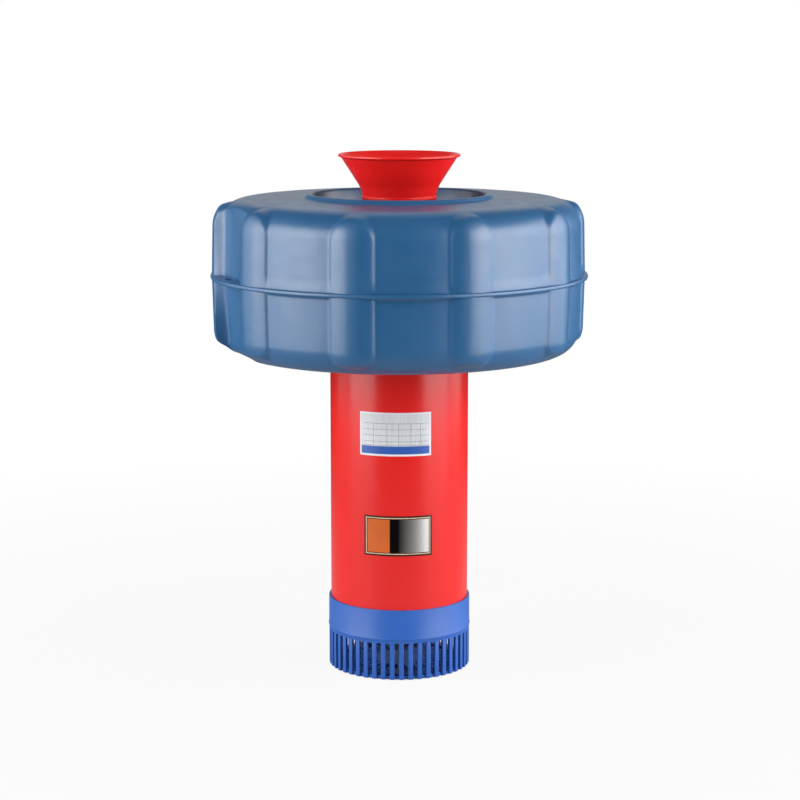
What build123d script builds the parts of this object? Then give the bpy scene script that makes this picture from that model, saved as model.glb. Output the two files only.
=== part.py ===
from build123d import *

import math
import os

os.makedirs("parts", exist_ok=True)

# Floating pond pump. The origin is the middle of the base and +Z is up.
# An azimuth of 0 degrees faces the front (-Y) and 90 degrees faces +X.
FRONT_ANGLE = -90.0

# Float ring
float_bottom_z = 371.0
float_top_z = 548.0
seam_z = 459.5
panel_radius = 208.6
draft_angle = 1.4
top_corner_radius = 30.0
bottom_corner_radius = 28.0
top_fall = 2.0
lip_outer_radius = 107.0
lip_height = 4.5
well_radius = 92.0
shoulder_z = 440.0
shoulder_thickness = 16.0
float_bore_radius = 80.3
float_wall = 4.0
collar_radius = 96.0
flange_radius = 216.6
flange_thickness = 4.6
flange_root_thickness = 8.0
flange_root_proud = 3.0
flange_edge_cut = 1.2
flange_inner_radius = 170.0

# Raised ribs of the float
rib_proud = 6.4
rib_crown_radius = 82.0
rib_width = 53.0
rib_bottom_z = 388.0
rib_top_z = 541.0
rib_end_radius = 25.0
rib_foot_depth = 25.0
rib_pitch = 34.5
first_rib_azimuth = -47.9
ribs_per_side = 5

# Rope notches of the float
notch_azimuth = -68.9
notch_floor_distance = 178.0
notch_half_width = 38.0
notch_mouth_half_width = 39.5
notch_corner_cut = 8.0
notch_mouth_cut = 4.0
notch_mouth_run = 7.6
notch_cut_height = 110.0
notch_backing_depth = 13.0
notch_backing_margin = 6.0
upper_notch_draft = 1.5
lower_notch_draft = 3.0
rope_hole_radius = 6.0
rope_hole_distance = 203.0

# Barrel
barrel_radius = 80.0
barrel_wall = 4.0
barrel_bottom_z = 52.0
gasket_thickness = 1.5

# Strainer cup
strainer_radius = 82.6
strainer_top_z = 82.0
strainer_edge_cut = 1.6
bead_radius = 83.2
bead_z = 48.0
bead_height = 1.6
cup_wall = 3.7
cup_floor = 4.0
slot_count = 46
slot_width = 5.0
slot_top_z = 42.7
floor_slot_count = 23
floor_slot_inner = 30.0
floor_slot_outer = 68.0

# Discharge head
head_flange_radius = 91.5
head_flange_thickness = 8.0
spigot_radius = 75.9
spigot_length = 22.0
head_wall = 4.5
dome_foot_radius = 80.0
dome_edge = 5.0
neck_radius = 37.5
neck_foot_z = 500.0
neck_top_z = 549.0

# Trumpet outlet
socket_clearance = 0.08
socket_radius = 41.0
socket_bottom_z = 522.0
cone_foot_radius = 40.5
cone_foot_z = 554.0
cone_top_radius = 64.2
cone_top_z = 592.0
trumpet_wall = 3.0
trumpet_lip_radius = 69.6
trumpet_top_z = 598.0
trumpet_lip_edge = 1.0
trumpet_ledge_gap = 0.3

# Motor
casing_radius = 52.0
casing_wall = 3.0
casing_bottom_z = 150.0
casing_top_z = 434.0
stator_bottom_z = 190.0
stator_top_z = 320.0
stator_bore_radius = 26.0
air_gap = 0.6
winding_slot_count = 12
winding_slot_width = 7.0
winding_slot_inner = 29.0
winding_slot_outer = 42.0
winding_margin = 1.0
end_turn_height = 18.0
shaft_radius = 10.0
shaft_core_radius = 12.0
shaft_core_overhang = 4.0
shaft_foot_radius = 8.0
shaft_foot_reach = 1.0
shaft_step_z = 110.0
shaft_bottom_z = 52.0
shaft_top_z = 362.0

spider_bottom_z = 388.0
spider_height = 10.0
spider_ring_width = 4.0
spider_arm_count = 4
spider_arm_width = 5.0
cap_dome_height = 20.0
cap_skirt = 8.0
cap_wall = 4.0
capacitor_radius = 20.0
capacitor_offset = 22.0
capacitor_height = 56.0
capacitor_gap = 6.0
seal_seat_radius = 17.0
seal_seat_gap = 1.0
seal_head_inset = 2.0
seal_face_gap = 0.05
seal_face_z = 130.0
seal_seat_top_z = 138.0
key_bottom_z = 68.0
key_length = 24.0
key_width = 5.0
key_depth = 5.0

# Bearings
bearing_outer_radius = 23.5
bearing_ring_wall = 3.3
bearing_width = 14.0
housing_wall = 6.0
bracket_step = 2.0
bracket_cover = 4.0
ball_set_gap = 0.5
cage_recess = 3.0
lower_bearing_z = 155.0
upper_bearing_z = 344.0

# Impeller and guide vanes
guide_ring_radius = 75.9
guide_ring_bore_radius = 73.3
guide_ring_top_z = 146.0
guide_vane_count = 7
guide_vane_thickness = 3.0
guide_hub_bottom_z = 102.0
guide_hub_radius = 36.0
guide_hub_rim = 4.0
guide_vane_end_gap = 2.0
seal_chamber_gap = 2.0
seal_chamber_radius = 24.0
impeller_bottom_z = 62.0
impeller_top_z = 98.0
impeller_tip_radius = 72.7
impeller_blade_count = 4
impeller_foot_radius = 22.0
impeller_shoulder_radius = 33.0
blade_thickness = 5.0
blade_overlap = 4.0
impeller_shoulder_height = 4.0
blade_root_angle = 52.0
blade_tip_angle = 24.0
blade_root_length = 42.0
blade_tip_length = 74.0
impeller_nut_radius = 13.0
guide_vane_sweep = 16.0

# Cable entry at the back of the head
entry_distance = 63.0
entry_boss_radius = 13.0
entry_boss_top_z = 490.0
gland_thread_radius = 8.0
gland_hex_radius = 12.0
gland_hex_height = 6.0
gland_seal_height = 8.0
gland_nut_crown = 2.0
cable_radius = 4.5
conduit_radius = 6.0
conduit_bore_radius = 5.0
conduit_top_z = 476.0
conduit_elbow_z = 415.0

# Screws
screw_recess = 0.3
strainer_screw_radius = 2.0
strainer_screw_length = 8.6
strainer_screw_z = 66.0
strainer_screw_azimuths = (-100.0, 100.0)
head_screw_radius = 2.5
head_screw_length = 7.4
head_screw_z = 429.0
head_screw_azimuths = (-135.0, -45.0, 45.0, 135.0)
cap_screw_radius = 2.0
cap_screw_length = 6.4
cap_screw_z = 430.0
cap_screw_azimuths = (-120.0, 0.0, 120.0)
float_screw_distance = 86.5
float_screw_azimuths = (-135.0, -45.0, 45.0, 135.0)
float_screw_radius = 2.4
float_screw_head_radius = 4.4
float_screw_head_height = 3.0
float_screw_length = 14.0

# A size larger than the whole pump, for cutting right through
ALL_THE_WAY = 700.0


def tube(outer_radius, inner_radius, bottom_z, top_z):
    """A plain ring about the pump's axis."""
    with BuildPart() as ring:
        with BuildSketch(Plane.XY.offset(bottom_z)):
            Circle(outer_radius)
            Circle(inner_radius, mode=Mode.SUBTRACT)
        extrude(amount=top_z - bottom_z)
    return ring


def turned(points):
    """A closed half section, as (radius, height) corners, turned about the pump's axis."""
    with BuildPart() as piece:
        with BuildSketch(Plane.XZ):
            with BuildLine():
                Polyline(*points, close=True)
            make_face()
        revolve(axis=Axis.Z)
    return piece


def around(azimuths):
    """The turns that bring a piece made along +X to each azimuth."""
    return Locations(*[Location((0, 0, 0), (0, 0, azimuth + FRONT_ANGLE)) for azimuth in azimuths])


def radial_screw(wall_radius, z, thread_radius, length, head_rise=0):
    """A countersunk screw along +X whose head lies just under the face of a round wall."""
    top_x = wall_radius - screw_recess
    with BuildPart() as screw:
        with BuildSketch(Plane.XZ):
            with BuildLine():
                Polyline(
                    (top_x - length, z),
                    (top_x - length, z + thread_radius),
                    (top_x - thread_radius, z + thread_radius),
                    (top_x + head_rise, z + 2 * thread_radius + head_rise),
                    (top_x + head_rise, z),
                    close=True,
                )
            make_face()
        revolve(axis=Axis((0, 0, z), (1, 0, 0)))
    return screw


def radial_hole(wall_radius, z, thread_radius, length):
    """What a radial screw takes out of the walls that it passes, out past the wall's face."""
    return radial_screw(wall_radius, z, thread_radius, length, 2 * screw_recess)


# Radial screws and the holes for them
strainer_screw_sizes = (strainer_radius, strainer_screw_z, strainer_screw_radius, strainer_screw_length)
strainer_screw = radial_screw(*strainer_screw_sizes)
strainer_screw_hole = radial_hole(*strainer_screw_sizes)
head_screw_sizes = (barrel_radius, head_screw_z, head_screw_radius, head_screw_length)
head_screw = radial_screw(*head_screw_sizes)
head_screw_hole = radial_hole(*head_screw_sizes)
cap_screw_sizes = (casing_radius, cap_screw_z, cap_screw_radius, cap_screw_length)
cap_screw = radial_screw(*cap_screw_sizes)
cap_screw_hole = radial_hole(*cap_screw_sizes)

# Float: the half section of its closed outer form
float_fall = math.tan(math.radians(draft_angle))
panel_bottom_radius = panel_radius - float_fall * (seam_z - float_bottom_z)
panel_top_radius = panel_radius - float_fall * (float_top_z - seam_z)


def float_form(grow, axis_x, bottom_radius, top_radius):
    """The float's closed outer form, grown by a distance and turned about a line at axis_x."""
    low = float_bottom_z - grow
    edge = float_top_z - top_fall + grow
    rise = top_fall * (panel_top_radius - axis_x) / (panel_top_radius - lip_outer_radius)
    with BuildPart() as form:
        with BuildSketch(Plane.XZ) as section:
            with BuildLine():
                Polyline(
                    (axis_x, low),
                    (panel_bottom_radius + grow, low),
                    (panel_radius + grow, seam_z),
                    (panel_top_radius + grow, edge),
                    (axis_x, edge + rise),
                    close=True,
                )
            make_face()
            fillet(section.vertices().sort_by(Axis.X)[-3:].sort_by(Axis.Y)[-1], top_radius)
            fillet(section.vertices().sort_by(Axis.X)[-3:].sort_by(Axis.Y)[0], bottom_radius)
        revolve(axis=Axis((axis_x, 0, 0), (0, 0, 1)))
    return form


# One rib of the float: an arched pad whose crown is a tighter curve than the float
rib_crown_axis = panel_radius + rib_proud - rib_crown_radius
rib_crown = float_form(
    rib_proud, rib_crown_axis, bottom_corner_radius + rib_proud, top_corner_radius + rib_proud
)
with BuildPart() as float_rib:
    with BuildSketch(Plane.YZ.offset(panel_radius - rib_foot_depth)):
        with Locations((0, (rib_bottom_z + rib_top_z) / 2)):
            RectangleRounded(rib_width, rib_top_z - rib_bottom_z, rib_end_radius)
    extrude(amount=2 * rib_foot_depth)
    add(rib_crown.part, mode=Mode.INTERSECT)

# One notch cutter: a flared pocket that opens further towards the top and the bottom
notch_mouth_x = math.sqrt(panel_radius**2 - notch_mouth_half_width**2)
mouth_tilt = math.asin(notch_mouth_half_width / panel_radius)
notch_outside_x = flange_radius + notch_half_width
notch_lip_x = notch_mouth_x - notch_mouth_run * math.sin(mouth_tilt)
notch_lip_y = notch_mouth_half_width + notch_mouth_run * math.cos(mouth_tilt)


def notch_cutter(start_z, height, draft):
    """The pocket of one mould half, with its walls leaning outwards away from the seam."""
    plane = Plane.XY.offset(start_z)
    if height < 0:
        plane = Plane(origin=(0, 0, start_z), x_dir=(1, 0, 0), z_dir=(0, 0, -1))
    with BuildPart() as cutter:
        with BuildSketch(plane) as outline:
            with BuildLine():
                Polyline(
                    (notch_floor_distance, -notch_half_width),
                    (notch_mouth_x, -notch_mouth_half_width),
                    (notch_lip_x, -notch_lip_y),
                    (notch_outside_x, -notch_lip_y),
                    (notch_outside_x, notch_lip_y),
                    (notch_lip_x, notch_lip_y),
                    (notch_mouth_x, notch_mouth_half_width),
                    (notch_floor_distance, notch_half_width),
                    close=True,
                )
            make_face()
            inner = [v for v in outline.vertices() if v.X < notch_floor_distance + 1]
            chamfer(inner, notch_corner_cut)
            mouth = [v for v in outline.vertices() if abs(v.X - notch_mouth_x) < 0.01]
            chamfer(mouth, notch_mouth_cut)
        extrude(amount=abs(height), taper=-draft)
    return cutter


half_flange = flange_thickness / 2
upper_notch = notch_cutter(seam_z + half_flange, notch_cut_height, upper_notch_draft)
lower_notch = notch_cutter(seam_z - half_flange, -notch_cut_height, lower_notch_draft)

# The seam flange runs all round and bridges the notches as a thin web
half_root = flange_root_thickness / 2
seam_flange = turned(
    [
        (flange_inner_radius, seam_z - half_flange),
        (flange_radius - flange_edge_cut, seam_z - half_flange),
        (flange_radius, seam_z - half_flange + flange_edge_cut),
        (flange_radius, seam_z + half_flange - flange_edge_cut),
        (flange_radius - flange_edge_cut, seam_z + half_flange),
        (flange_inner_radius, seam_z + half_flange),
    ]
)
flange_root = turned(
    [
        (flange_inner_radius, seam_z - half_root),
        (panel_radius, seam_z - half_root),
        (panel_radius + flange_root_proud, seam_z),
        (panel_radius, seam_z + half_root),
        (flange_inner_radius, seam_z + half_root),
    ]
)

# The float is hollow
cavity_bottom_z = float_bottom_z + float_wall
cavity_top_z = float_top_z - float_wall - top_fall
cavity_radius = collar_radius + float_wall
float_cavity = turned(
    [
        (cavity_radius, cavity_bottom_z),
        (panel_bottom_radius - bottom_corner_radius, cavity_bottom_z),
        (panel_bottom_radius - float_wall, float_bottom_z + bottom_corner_radius),
        (panel_radius - float_wall, seam_z),
        (panel_top_radius - float_wall, float_top_z - top_corner_radius),
        (panel_top_radius - top_corner_radius, cavity_top_z),
        (cavity_radius, cavity_top_z),
    ]
)
notch_backing_x = notch_floor_distance - notch_backing_depth
with BuildPart() as notch_backing:
    with BuildSketch(Plane.XY.offset(float_bottom_z)):
        with Locations((notch_backing_x + panel_radius / 2, 0)):
            Rectangle(panel_radius, 2 * (notch_lip_y + notch_backing_margin))
    extrude(amount=float_top_z - float_bottom_z)

# The raised lip round the mouth of the float: the shell makes its outer part
lip_crest_z = float_top_z + lip_height
lip_crest_radius = (well_radius + lip_outer_radius) / 2
shell_lip = turned(
    [
        (collar_radius, float_bottom_z),
        (lip_outer_radius, float_bottom_z),
        (lip_outer_radius, float_top_z),
        (lip_crest_radius + lip_height / 2, lip_crest_z - lip_height / 6),
        (lip_crest_radius, lip_crest_z),
        (collar_radius, lip_crest_z - lip_height / 12),
    ]
)

rib_azimuths = [first_rib_azimuth + rib_pitch * index for index in range(ribs_per_side)]
rib_azimuths = rib_azimuths + [azimuth + 180 for azimuth in rib_azimuths]
notch_azimuths = (notch_azimuth, notch_azimuth + 180)

with BuildPart() as float_space:
    add(float_cavity.part)
    with around(notch_azimuths):
        add(notch_backing.part, mode=Mode.SUBTRACT)

with BuildPart() as float_shell:
    add(float_form(0, 0, bottom_corner_radius, top_corner_radius).part)
    with around(rib_azimuths):
        add(float_rib.part)
    with BuildSketch(Plane.XY.offset(float_bottom_z)):
        Circle(lip_outer_radius)
    extrude(amount=ALL_THE_WAY, mode=Mode.SUBTRACT)
    add(shell_lip.part)
    add(flange_root.part)
    with around(notch_azimuths):
        add(upper_notch.part, mode=Mode.SUBTRACT)
        add(lower_notch.part, mode=Mode.SUBTRACT)
    add(seam_flange.part)
    add(float_space.part, mode=Mode.SUBTRACT)
    with around(notch_azimuths):
        with Locations((rope_hole_distance, 0, seam_z)):
            Cylinder(rope_hole_radius, 2 * flange_root_thickness, mode=Mode.SUBTRACT)
float_shell.part.label = "float_shell"
export_step(float_shell.part, "parts/float_shell.step")

# Collar: the sleeve in the float, with a well round the outlet and a shoulder that the head rests on
sleeve_radius = float_bore_radius + float_wall
shoulder_foot_z = shoulder_z - shoulder_thickness
collar_section = turned(
    [
        (float_bore_radius, float_bottom_z),
        (collar_radius, float_bottom_z),
        (collar_radius, cavity_bottom_z),
        (sleeve_radius, cavity_bottom_z),
        (sleeve_radius, shoulder_foot_z),
        (collar_radius, shoulder_foot_z),
        (collar_radius, lip_crest_z - lip_height / 12),
        (well_radius + lip_height / 2, lip_crest_z - lip_height / 6),
        (well_radius, lip_crest_z - 2 * lip_height / 3),
        (well_radius, shoulder_z),
        (float_bore_radius, shoulder_z),
    ]
)
with BuildPart() as float_collar:
    add(collar_section.part)
    with around(float_screw_azimuths):
        with Locations((float_screw_distance, 0, shoulder_z)):
            Cylinder(float_screw_radius, 2 * (float_screw_length - head_flange_thickness), mode=Mode.SUBTRACT)
float_collar.part.label = "float_collar"
export_step(float_collar.part, "parts/float_collar.step")

# Barrel: a plastic pipe with screw holes near both ends
barrel_top_z = shoulder_z - gasket_thickness
barrel_bore = barrel_radius - barrel_wall
with BuildPart() as barrel:
    with BuildSketch(Plane.XY.offset(barrel_bottom_z)):
        Circle(barrel_radius)
        Circle(barrel_bore, mode=Mode.SUBTRACT)
    extrude(amount=barrel_top_z - barrel_bottom_z)
    with around(strainer_screw_azimuths):
        add(strainer_screw_hole.part, mode=Mode.SUBTRACT)
    with around(head_screw_azimuths):
        add(head_screw_hole.part, mode=Mode.SUBTRACT)
barrel.part.label = "barrel"
export_step(barrel.part, "parts/barrel.step")

# Strainer: a slotted cup that slides over the foot of the barrel
cup_bore = strainer_radius - cup_wall
with BuildPart() as side_slot:
    with BuildSketch(Plane.XY):
        with Locations(((cup_bore + bead_radius) / 2, 0)):
            Rectangle(bead_radius - cup_bore, slot_width)
    extrude(amount=slot_top_z)
with BuildPart() as strainer:
    with BuildSketch(Plane.XZ):
        with BuildLine():
            Polyline(
                (0, 0),
                (strainer_radius - strainer_edge_cut, 0),
                (strainer_radius, strainer_edge_cut),
                (strainer_radius, bead_z - bead_height),
                (bead_radius, bead_z),
                (strainer_radius, bead_z + bead_height / 2),
                (strainer_radius, strainer_top_z),
                (barrel_radius, strainer_top_z),
                (barrel_radius, barrel_bottom_z),
                (cup_bore, barrel_bottom_z),
                (cup_bore, cup_floor),
                (0, cup_floor),
                close=True,
            )
        make_face()
    revolve(axis=Axis.Z)
    with PolarLocations(0, slot_count):
        add(side_slot.part, mode=Mode.SUBTRACT)
    with BuildSketch(Plane.XY):
        with PolarLocations((floor_slot_inner + floor_slot_outer) / 2, floor_slot_count):
            Rectangle(floor_slot_outer - floor_slot_inner, slot_width)
    extrude(amount=cup_floor, mode=Mode.SUBTRACT)
    with around(strainer_screw_azimuths):
        add(strainer_screw_hole.part, mode=Mode.SUBTRACT)
strainer.part.label = "strainer"
export_step(strainer.part, "parts/strainer.step")

with BuildPart() as strainer_screws:
    with around(strainer_screw_azimuths):
        add(strainer_screw.part)
strainer_screws.part.label = "strainer_screws"
export_step(strainer_screws.part, "parts/strainer_screws.step")

# Discharge head: a spigot in the barrel, a flange on the float's shoulder and a dome to the outlet
flange_top_z = shoulder_z + head_flange_thickness
spigot_bottom_z = barrel_top_z - spigot_length
neck_bore = neck_radius - head_wall
with BuildPart() as discharge_head:
    with BuildSketch(Plane.XZ):
        with BuildLine():
            Polyline(
                (spigot_radius - head_wall, spigot_bottom_z),
                (spigot_radius, spigot_bottom_z),
                (spigot_radius, shoulder_z),
                (head_flange_radius, shoulder_z),
                (head_flange_radius, flange_top_z),
                (dome_foot_radius, flange_top_z),
                (dome_foot_radius - dome_edge, flange_top_z + 2 * dome_edge),
                (neck_radius + dome_edge, neck_foot_z - dome_edge),
                (neck_radius, neck_foot_z + dome_edge),
                (neck_radius, neck_top_z),
                (neck_bore, neck_top_z),
                (neck_bore, neck_foot_z - dome_edge / 2),
                (spigot_radius - head_wall, flange_top_z + dome_edge),
                close=True,
            )
        make_face()
    revolve(axis=Axis.Z)
    with BuildSketch(Plane.XY.offset(flange_top_z)):
        with Locations((0, entry_distance)):
            Circle(entry_boss_radius)
    extrude(amount=entry_boss_top_z - flange_top_z)
    with BuildSketch(Plane.XY.offset(shoulder_z)):
        with Locations((0, entry_distance)):
            Circle(conduit_radius)
    extrude(amount=conduit_top_z - shoulder_z, mode=Mode.SUBTRACT)
    with BuildSketch(Plane.XY.offset(conduit_top_z)):
        with Locations((0, entry_distance)):
            Circle(gland_thread_radius)
    extrude(amount=entry_boss_top_z - conduit_top_z, mode=Mode.SUBTRACT)
    with around(head_screw_azimuths):
        add(head_screw_hole.part, mode=Mode.SUBTRACT)
    with around(float_screw_azimuths):
        with Locations((float_screw_distance, 0, shoulder_z)):
            Cylinder(float_screw_radius, ALL_THE_WAY, mode=Mode.SUBTRACT)
discharge_head.part.label = "discharge_head"
export_step(discharge_head.part, "parts/discharge_head.step")

head_gasket = tube(barrel_radius, spigot_radius, barrel_top_z, shoulder_z)
head_gasket.part.label = "head_gasket"
export_step(head_gasket.part, "parts/head_gasket.step")

with BuildPart() as head_screws:
    with around(head_screw_azimuths):
        add(head_screw.part)
head_screws.part.label = "head_screws"
export_step(head_screws.part, "parts/head_screws.step")

# Hexagon screws through the head's flange into the float's shoulder
with BuildPart() as float_screw:
    with BuildSketch(Plane.XY.offset(flange_top_z)):
        with Locations((float_screw_distance, 0)):
            RegularPolygon(float_screw_head_radius, 6)
    extrude(amount=float_screw_head_height)
    with BuildSketch(Plane.XY.offset(flange_top_z - float_screw_length)):
        with Locations((float_screw_distance, 0)):
            Circle(float_screw_radius)
    extrude(amount=float_screw_length)
with BuildPart() as float_screws:
    with around(float_screw_azimuths):
        add(float_screw.part)
float_screws.part.label = "float_screws"
export_step(float_screws.part, "parts/float_screws.step")

# Cable gland and the conduit that takes the cable across the water way
with BuildPart() as cable_gland_body:
    with BuildSketch(Plane.XY.offset(conduit_top_z)):
        with Locations((0, entry_distance)):
            Circle(gland_thread_radius)
    extrude(amount=entry_boss_top_z - conduit_top_z)
    with BuildSketch(Plane.XY.offset(entry_boss_top_z)):
        with Locations((0, entry_distance)):
            RegularPolygon(gland_hex_radius, 6)
    extrude(amount=gland_hex_height)
    with BuildSketch(Plane.XY.offset(entry_boss_top_z + gland_hex_height)):
        with Locations((0, entry_distance)):
            Circle(gland_thread_radius)
    extrude(amount=gland_hex_height)
    with BuildSketch(Plane.XY.offset(conduit_top_z)):
        with Locations((0, entry_distance)):
            Circle(cable_radius)
    extrude(amount=ALL_THE_WAY, mode=Mode.SUBTRACT)
cable_gland_body.part.label = "cable_gland_body"
export_step(cable_gland_body.part, "parts/cable_gland_body.step")

gland_seal_bottom_z = entry_boss_top_z + 2 * gland_hex_height
with BuildPart() as gland_seal:
    with BuildSketch(Plane.XY.offset(gland_seal_bottom_z)):
        with Locations((0, entry_distance)):
            Circle(gland_thread_radius - 1)
            Circle(cable_radius, mode=Mode.SUBTRACT)
    extrude(amount=gland_seal_height)
gland_seal.part.label = "gland_seal"
export_step(gland_seal.part, "parts/gland_seal.step")

# The nut screws over the gland body and squeezes the seal from above
gland_nut_bottom_z = entry_boss_top_z + gland_hex_height
gland_nut_top_z = gland_seal_bottom_z + gland_seal_height + gland_nut_crown
with BuildPart() as gland_nut:
    with BuildSketch(Plane.XY.offset(gland_nut_bottom_z)):
        with Locations((0, entry_distance)):
            RegularPolygon(gland_hex_radius, 6)
    extrude(amount=gland_nut_top_z - gland_nut_bottom_z)
    chamfer(gland_nut.edges().group_by(Axis.Z)[-1], gland_nut_crown)
    with BuildSketch(Plane.XY.offset(gland_nut_bottom_z)):
        with Locations((0, entry_distance)):
            Circle(gland_thread_radius)
    extrude(amount=gland_hex_height, mode=Mode.SUBTRACT)
    with BuildSketch(Plane.XY.offset(gland_seal_bottom_z)):
        with Locations((0, entry_distance)):
            Circle(gland_thread_radius - 1)
    extrude(amount=gland_seal_height, mode=Mode.SUBTRACT)
    with BuildSketch(Plane.XY.offset(gland_nut_bottom_z)):
        with Locations((0, entry_distance)):
            Circle(cable_radius + 1)
    extrude(amount=ALL_THE_WAY, mode=Mode.SUBTRACT)
gland_nut.part.label = "gland_nut"
export_step(gland_nut.part, "parts/gland_nut.step")

with BuildPart() as cable_conduit:
    with BuildLine() as conduit_route:
        Polyline(
            (0, entry_distance, conduit_top_z),
            (0, entry_distance, conduit_elbow_z),
            (0, casing_radius - casing_wall, conduit_elbow_z),
        )
    with BuildSketch(Plane(origin=(0, entry_distance, conduit_top_z), z_dir=(0, 0, -1))):
        Circle(conduit_radius)
        Circle(conduit_bore_radius, mode=Mode.SUBTRACT)
    sweep(path=conduit_route.wire(), transition=Transition.RIGHT)
cable_conduit.part.label = "cable_conduit"
export_step(cable_conduit.part, "parts/cable_conduit.step")

# Trumpet: a socket over the head's neck that opens into a cone with a thick lip
throat_radius = cone_foot_radius - trumpet_wall
with BuildPart() as trumpet:
    with BuildSketch(Plane.XZ):
        with BuildLine():
            Polyline(
                (neck_radius + socket_clearance, socket_bottom_z),
                (socket_radius, socket_bottom_z),
                (socket_radius, cone_foot_z),
                (cone_foot_radius, cone_foot_z),
                (cone_top_radius, cone_top_z),
                (trumpet_lip_radius - trumpet_lip_edge, cone_top_z + trumpet_lip_edge),
                (trumpet_lip_radius, cone_top_z + 2 * trumpet_lip_edge),
                (trumpet_lip_radius, trumpet_top_z - trumpet_lip_edge),
                (trumpet_lip_radius - trumpet_lip_edge, trumpet_top_z),
                (trumpet_lip_radius - 2 * trumpet_lip_edge, trumpet_top_z),
                (cone_top_radius - trumpet_wall, cone_top_z),
                (throat_radius, cone_foot_z),
                (neck_bore, neck_top_z + trumpet_ledge_gap),
                (neck_radius + socket_clearance, neck_top_z + trumpet_ledge_gap),
                close=True,
            )
        make_face()
    revolve(axis=Axis.Z)
trumpet.part.label = "trumpet"
export_step(trumpet.part, "parts/trumpet.step")

# Motor casing and the ring that centres it in the barrel
casing_bore = casing_radius - casing_wall
with BuildPart() as motor_casing:
    with BuildSketch(Plane.XY.offset(casing_bottom_z)):
        Circle(casing_radius)
        Circle(casing_bore, mode=Mode.SUBTRACT)
    extrude(amount=casing_top_z - casing_bottom_z)
    with around(cap_screw_azimuths):
        add(cap_screw_hole.part, mode=Mode.SUBTRACT)
    with BuildSketch(Plane(origin=(0, 0, conduit_elbow_z), z_dir=(0, 1, 0))):
        Circle(conduit_radius)
    extrude(amount=entry_distance, mode=Mode.SUBTRACT)
motor_casing.part.label = "motor_casing"
export_step(motor_casing.part, "parts/motor_casing.step")

with BuildPart() as motor_spider:
    with BuildSketch(Plane.XY.offset(spider_bottom_z)):
        Circle(casing_radius + spider_ring_width)
        with PolarLocations(0, spider_arm_count, start_angle=45):
            with Locations((guide_ring_radius / 2, 0)):
                Rectangle(guide_ring_radius, spider_arm_width)
        Circle(guide_ring_radius, mode=Mode.INTERSECT)
        Circle(casing_radius, mode=Mode.SUBTRACT)
    extrude(amount=spider_height)
motor_spider.part.label = "motor_spider"
export_step(motor_spider.part, "parts/motor_spider.step")

cap_top_z = casing_top_z + cap_dome_height
cap_section = turned(
    [
        (0, cap_top_z),
        (casing_bore / 2, cap_top_z - cap_wall),
        (casing_radius, casing_top_z + cap_wall),
        (casing_radius, casing_top_z),
        (casing_bore, casing_top_z),
        (casing_bore, casing_top_z - cap_skirt),
        (casing_bore - cap_wall, casing_top_z - cap_skirt),
        (casing_bore - cap_wall, casing_top_z),
        (casing_bore / 2, cap_top_z - 2 * cap_wall),
        (0, cap_top_z - cap_wall),
    ]
)
with BuildPart() as motor_top_cap:
    add(cap_section.part)
    with around(cap_screw_azimuths):
        add(cap_screw_hole.part, mode=Mode.SUBTRACT)
motor_top_cap.part.label = "motor_top_cap"
export_step(motor_top_cap.part, "parts/motor_top_cap.step")

with BuildPart() as cap_screws:
    with around(cap_screw_azimuths):
        add(cap_screw.part)
cap_screws.part.label = "cap_screws"
export_step(cap_screws.part, "parts/cap_screws.step")

with BuildPart() as capacitor:
    with BuildSketch(Plane.XY.offset(shaft_top_z + capacitor_gap)):
        with Locations((0, -capacitor_offset)):
            Circle(capacitor_radius)
    extrude(amount=capacitor_height)
capacitor.part.label = "capacitor"
export_step(capacitor.part, "parts/capacitor.step")

# Stator: a slotted core with its windings in the slots and end turns above and below
with BuildPart() as stator_core:
    with BuildSketch(Plane.XY.offset(stator_bottom_z)):
        Circle(casing_bore)
        Circle(stator_bore_radius, mode=Mode.SUBTRACT)
        with PolarLocations((winding_slot_inner + winding_slot_outer) / 2, winding_slot_count):
            Rectangle(winding_slot_outer - winding_slot_inner, winding_slot_width, mode=Mode.SUBTRACT)
    extrude(amount=stator_top_z - stator_bottom_z)
stator_core.part.label = "stator_core"
export_step(stator_core.part, "parts/stator_core.step")

with BuildPart() as stator_windings:
    with BuildSketch(Plane.XY.offset(stator_bottom_z)):
        with PolarLocations((winding_slot_inner + winding_slot_outer) / 2, winding_slot_count):
            Rectangle(winding_slot_outer - winding_slot_inner, winding_slot_width)
    extrude(amount=stator_top_z - stator_bottom_z)
    with BuildSketch(Plane.XY.offset(stator_bottom_z), Plane.XY.offset(stator_top_z + end_turn_height)):
        Circle(winding_slot_outer + winding_margin)
        Circle(winding_slot_inner + 1, mode=Mode.SUBTRACT)
    extrude(amount=-end_turn_height)
stator_windings.part.label = "stator_windings"
export_step(stator_windings.part, "parts/stator_windings.step")

# Bearing housings at both ends of the motor
housing_bore = bearing_outer_radius
housing_radius = bearing_outer_radius + housing_wall
shaft_hole = shaft_radius + ball_set_gap
lower_end_bell = turned(
    [
        (shaft_hole, seal_seat_top_z),
        (seal_seat_radius, seal_seat_top_z),
        (seal_seat_radius, seal_face_z),
        (seal_chamber_radius, seal_face_z),
        (seal_chamber_radius, guide_ring_top_z),
        (casing_radius, guide_ring_top_z),
        (casing_radius, casing_bottom_z),
        (casing_bore, casing_bottom_z),
        (casing_bore, casing_bottom_z + housing_wall),
        (housing_radius, casing_bottom_z + housing_wall),
        (housing_radius, lower_bearing_z + bearing_width),
        (housing_bore, lower_bearing_z + bearing_width),
        (housing_bore, lower_bearing_z),
        (shaft_hole, lower_bearing_z),
    ]
)
lower_end_bell.part.label = "lower_end_bell"
export_step(lower_end_bell.part, "parts/lower_end_bell.step")

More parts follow.
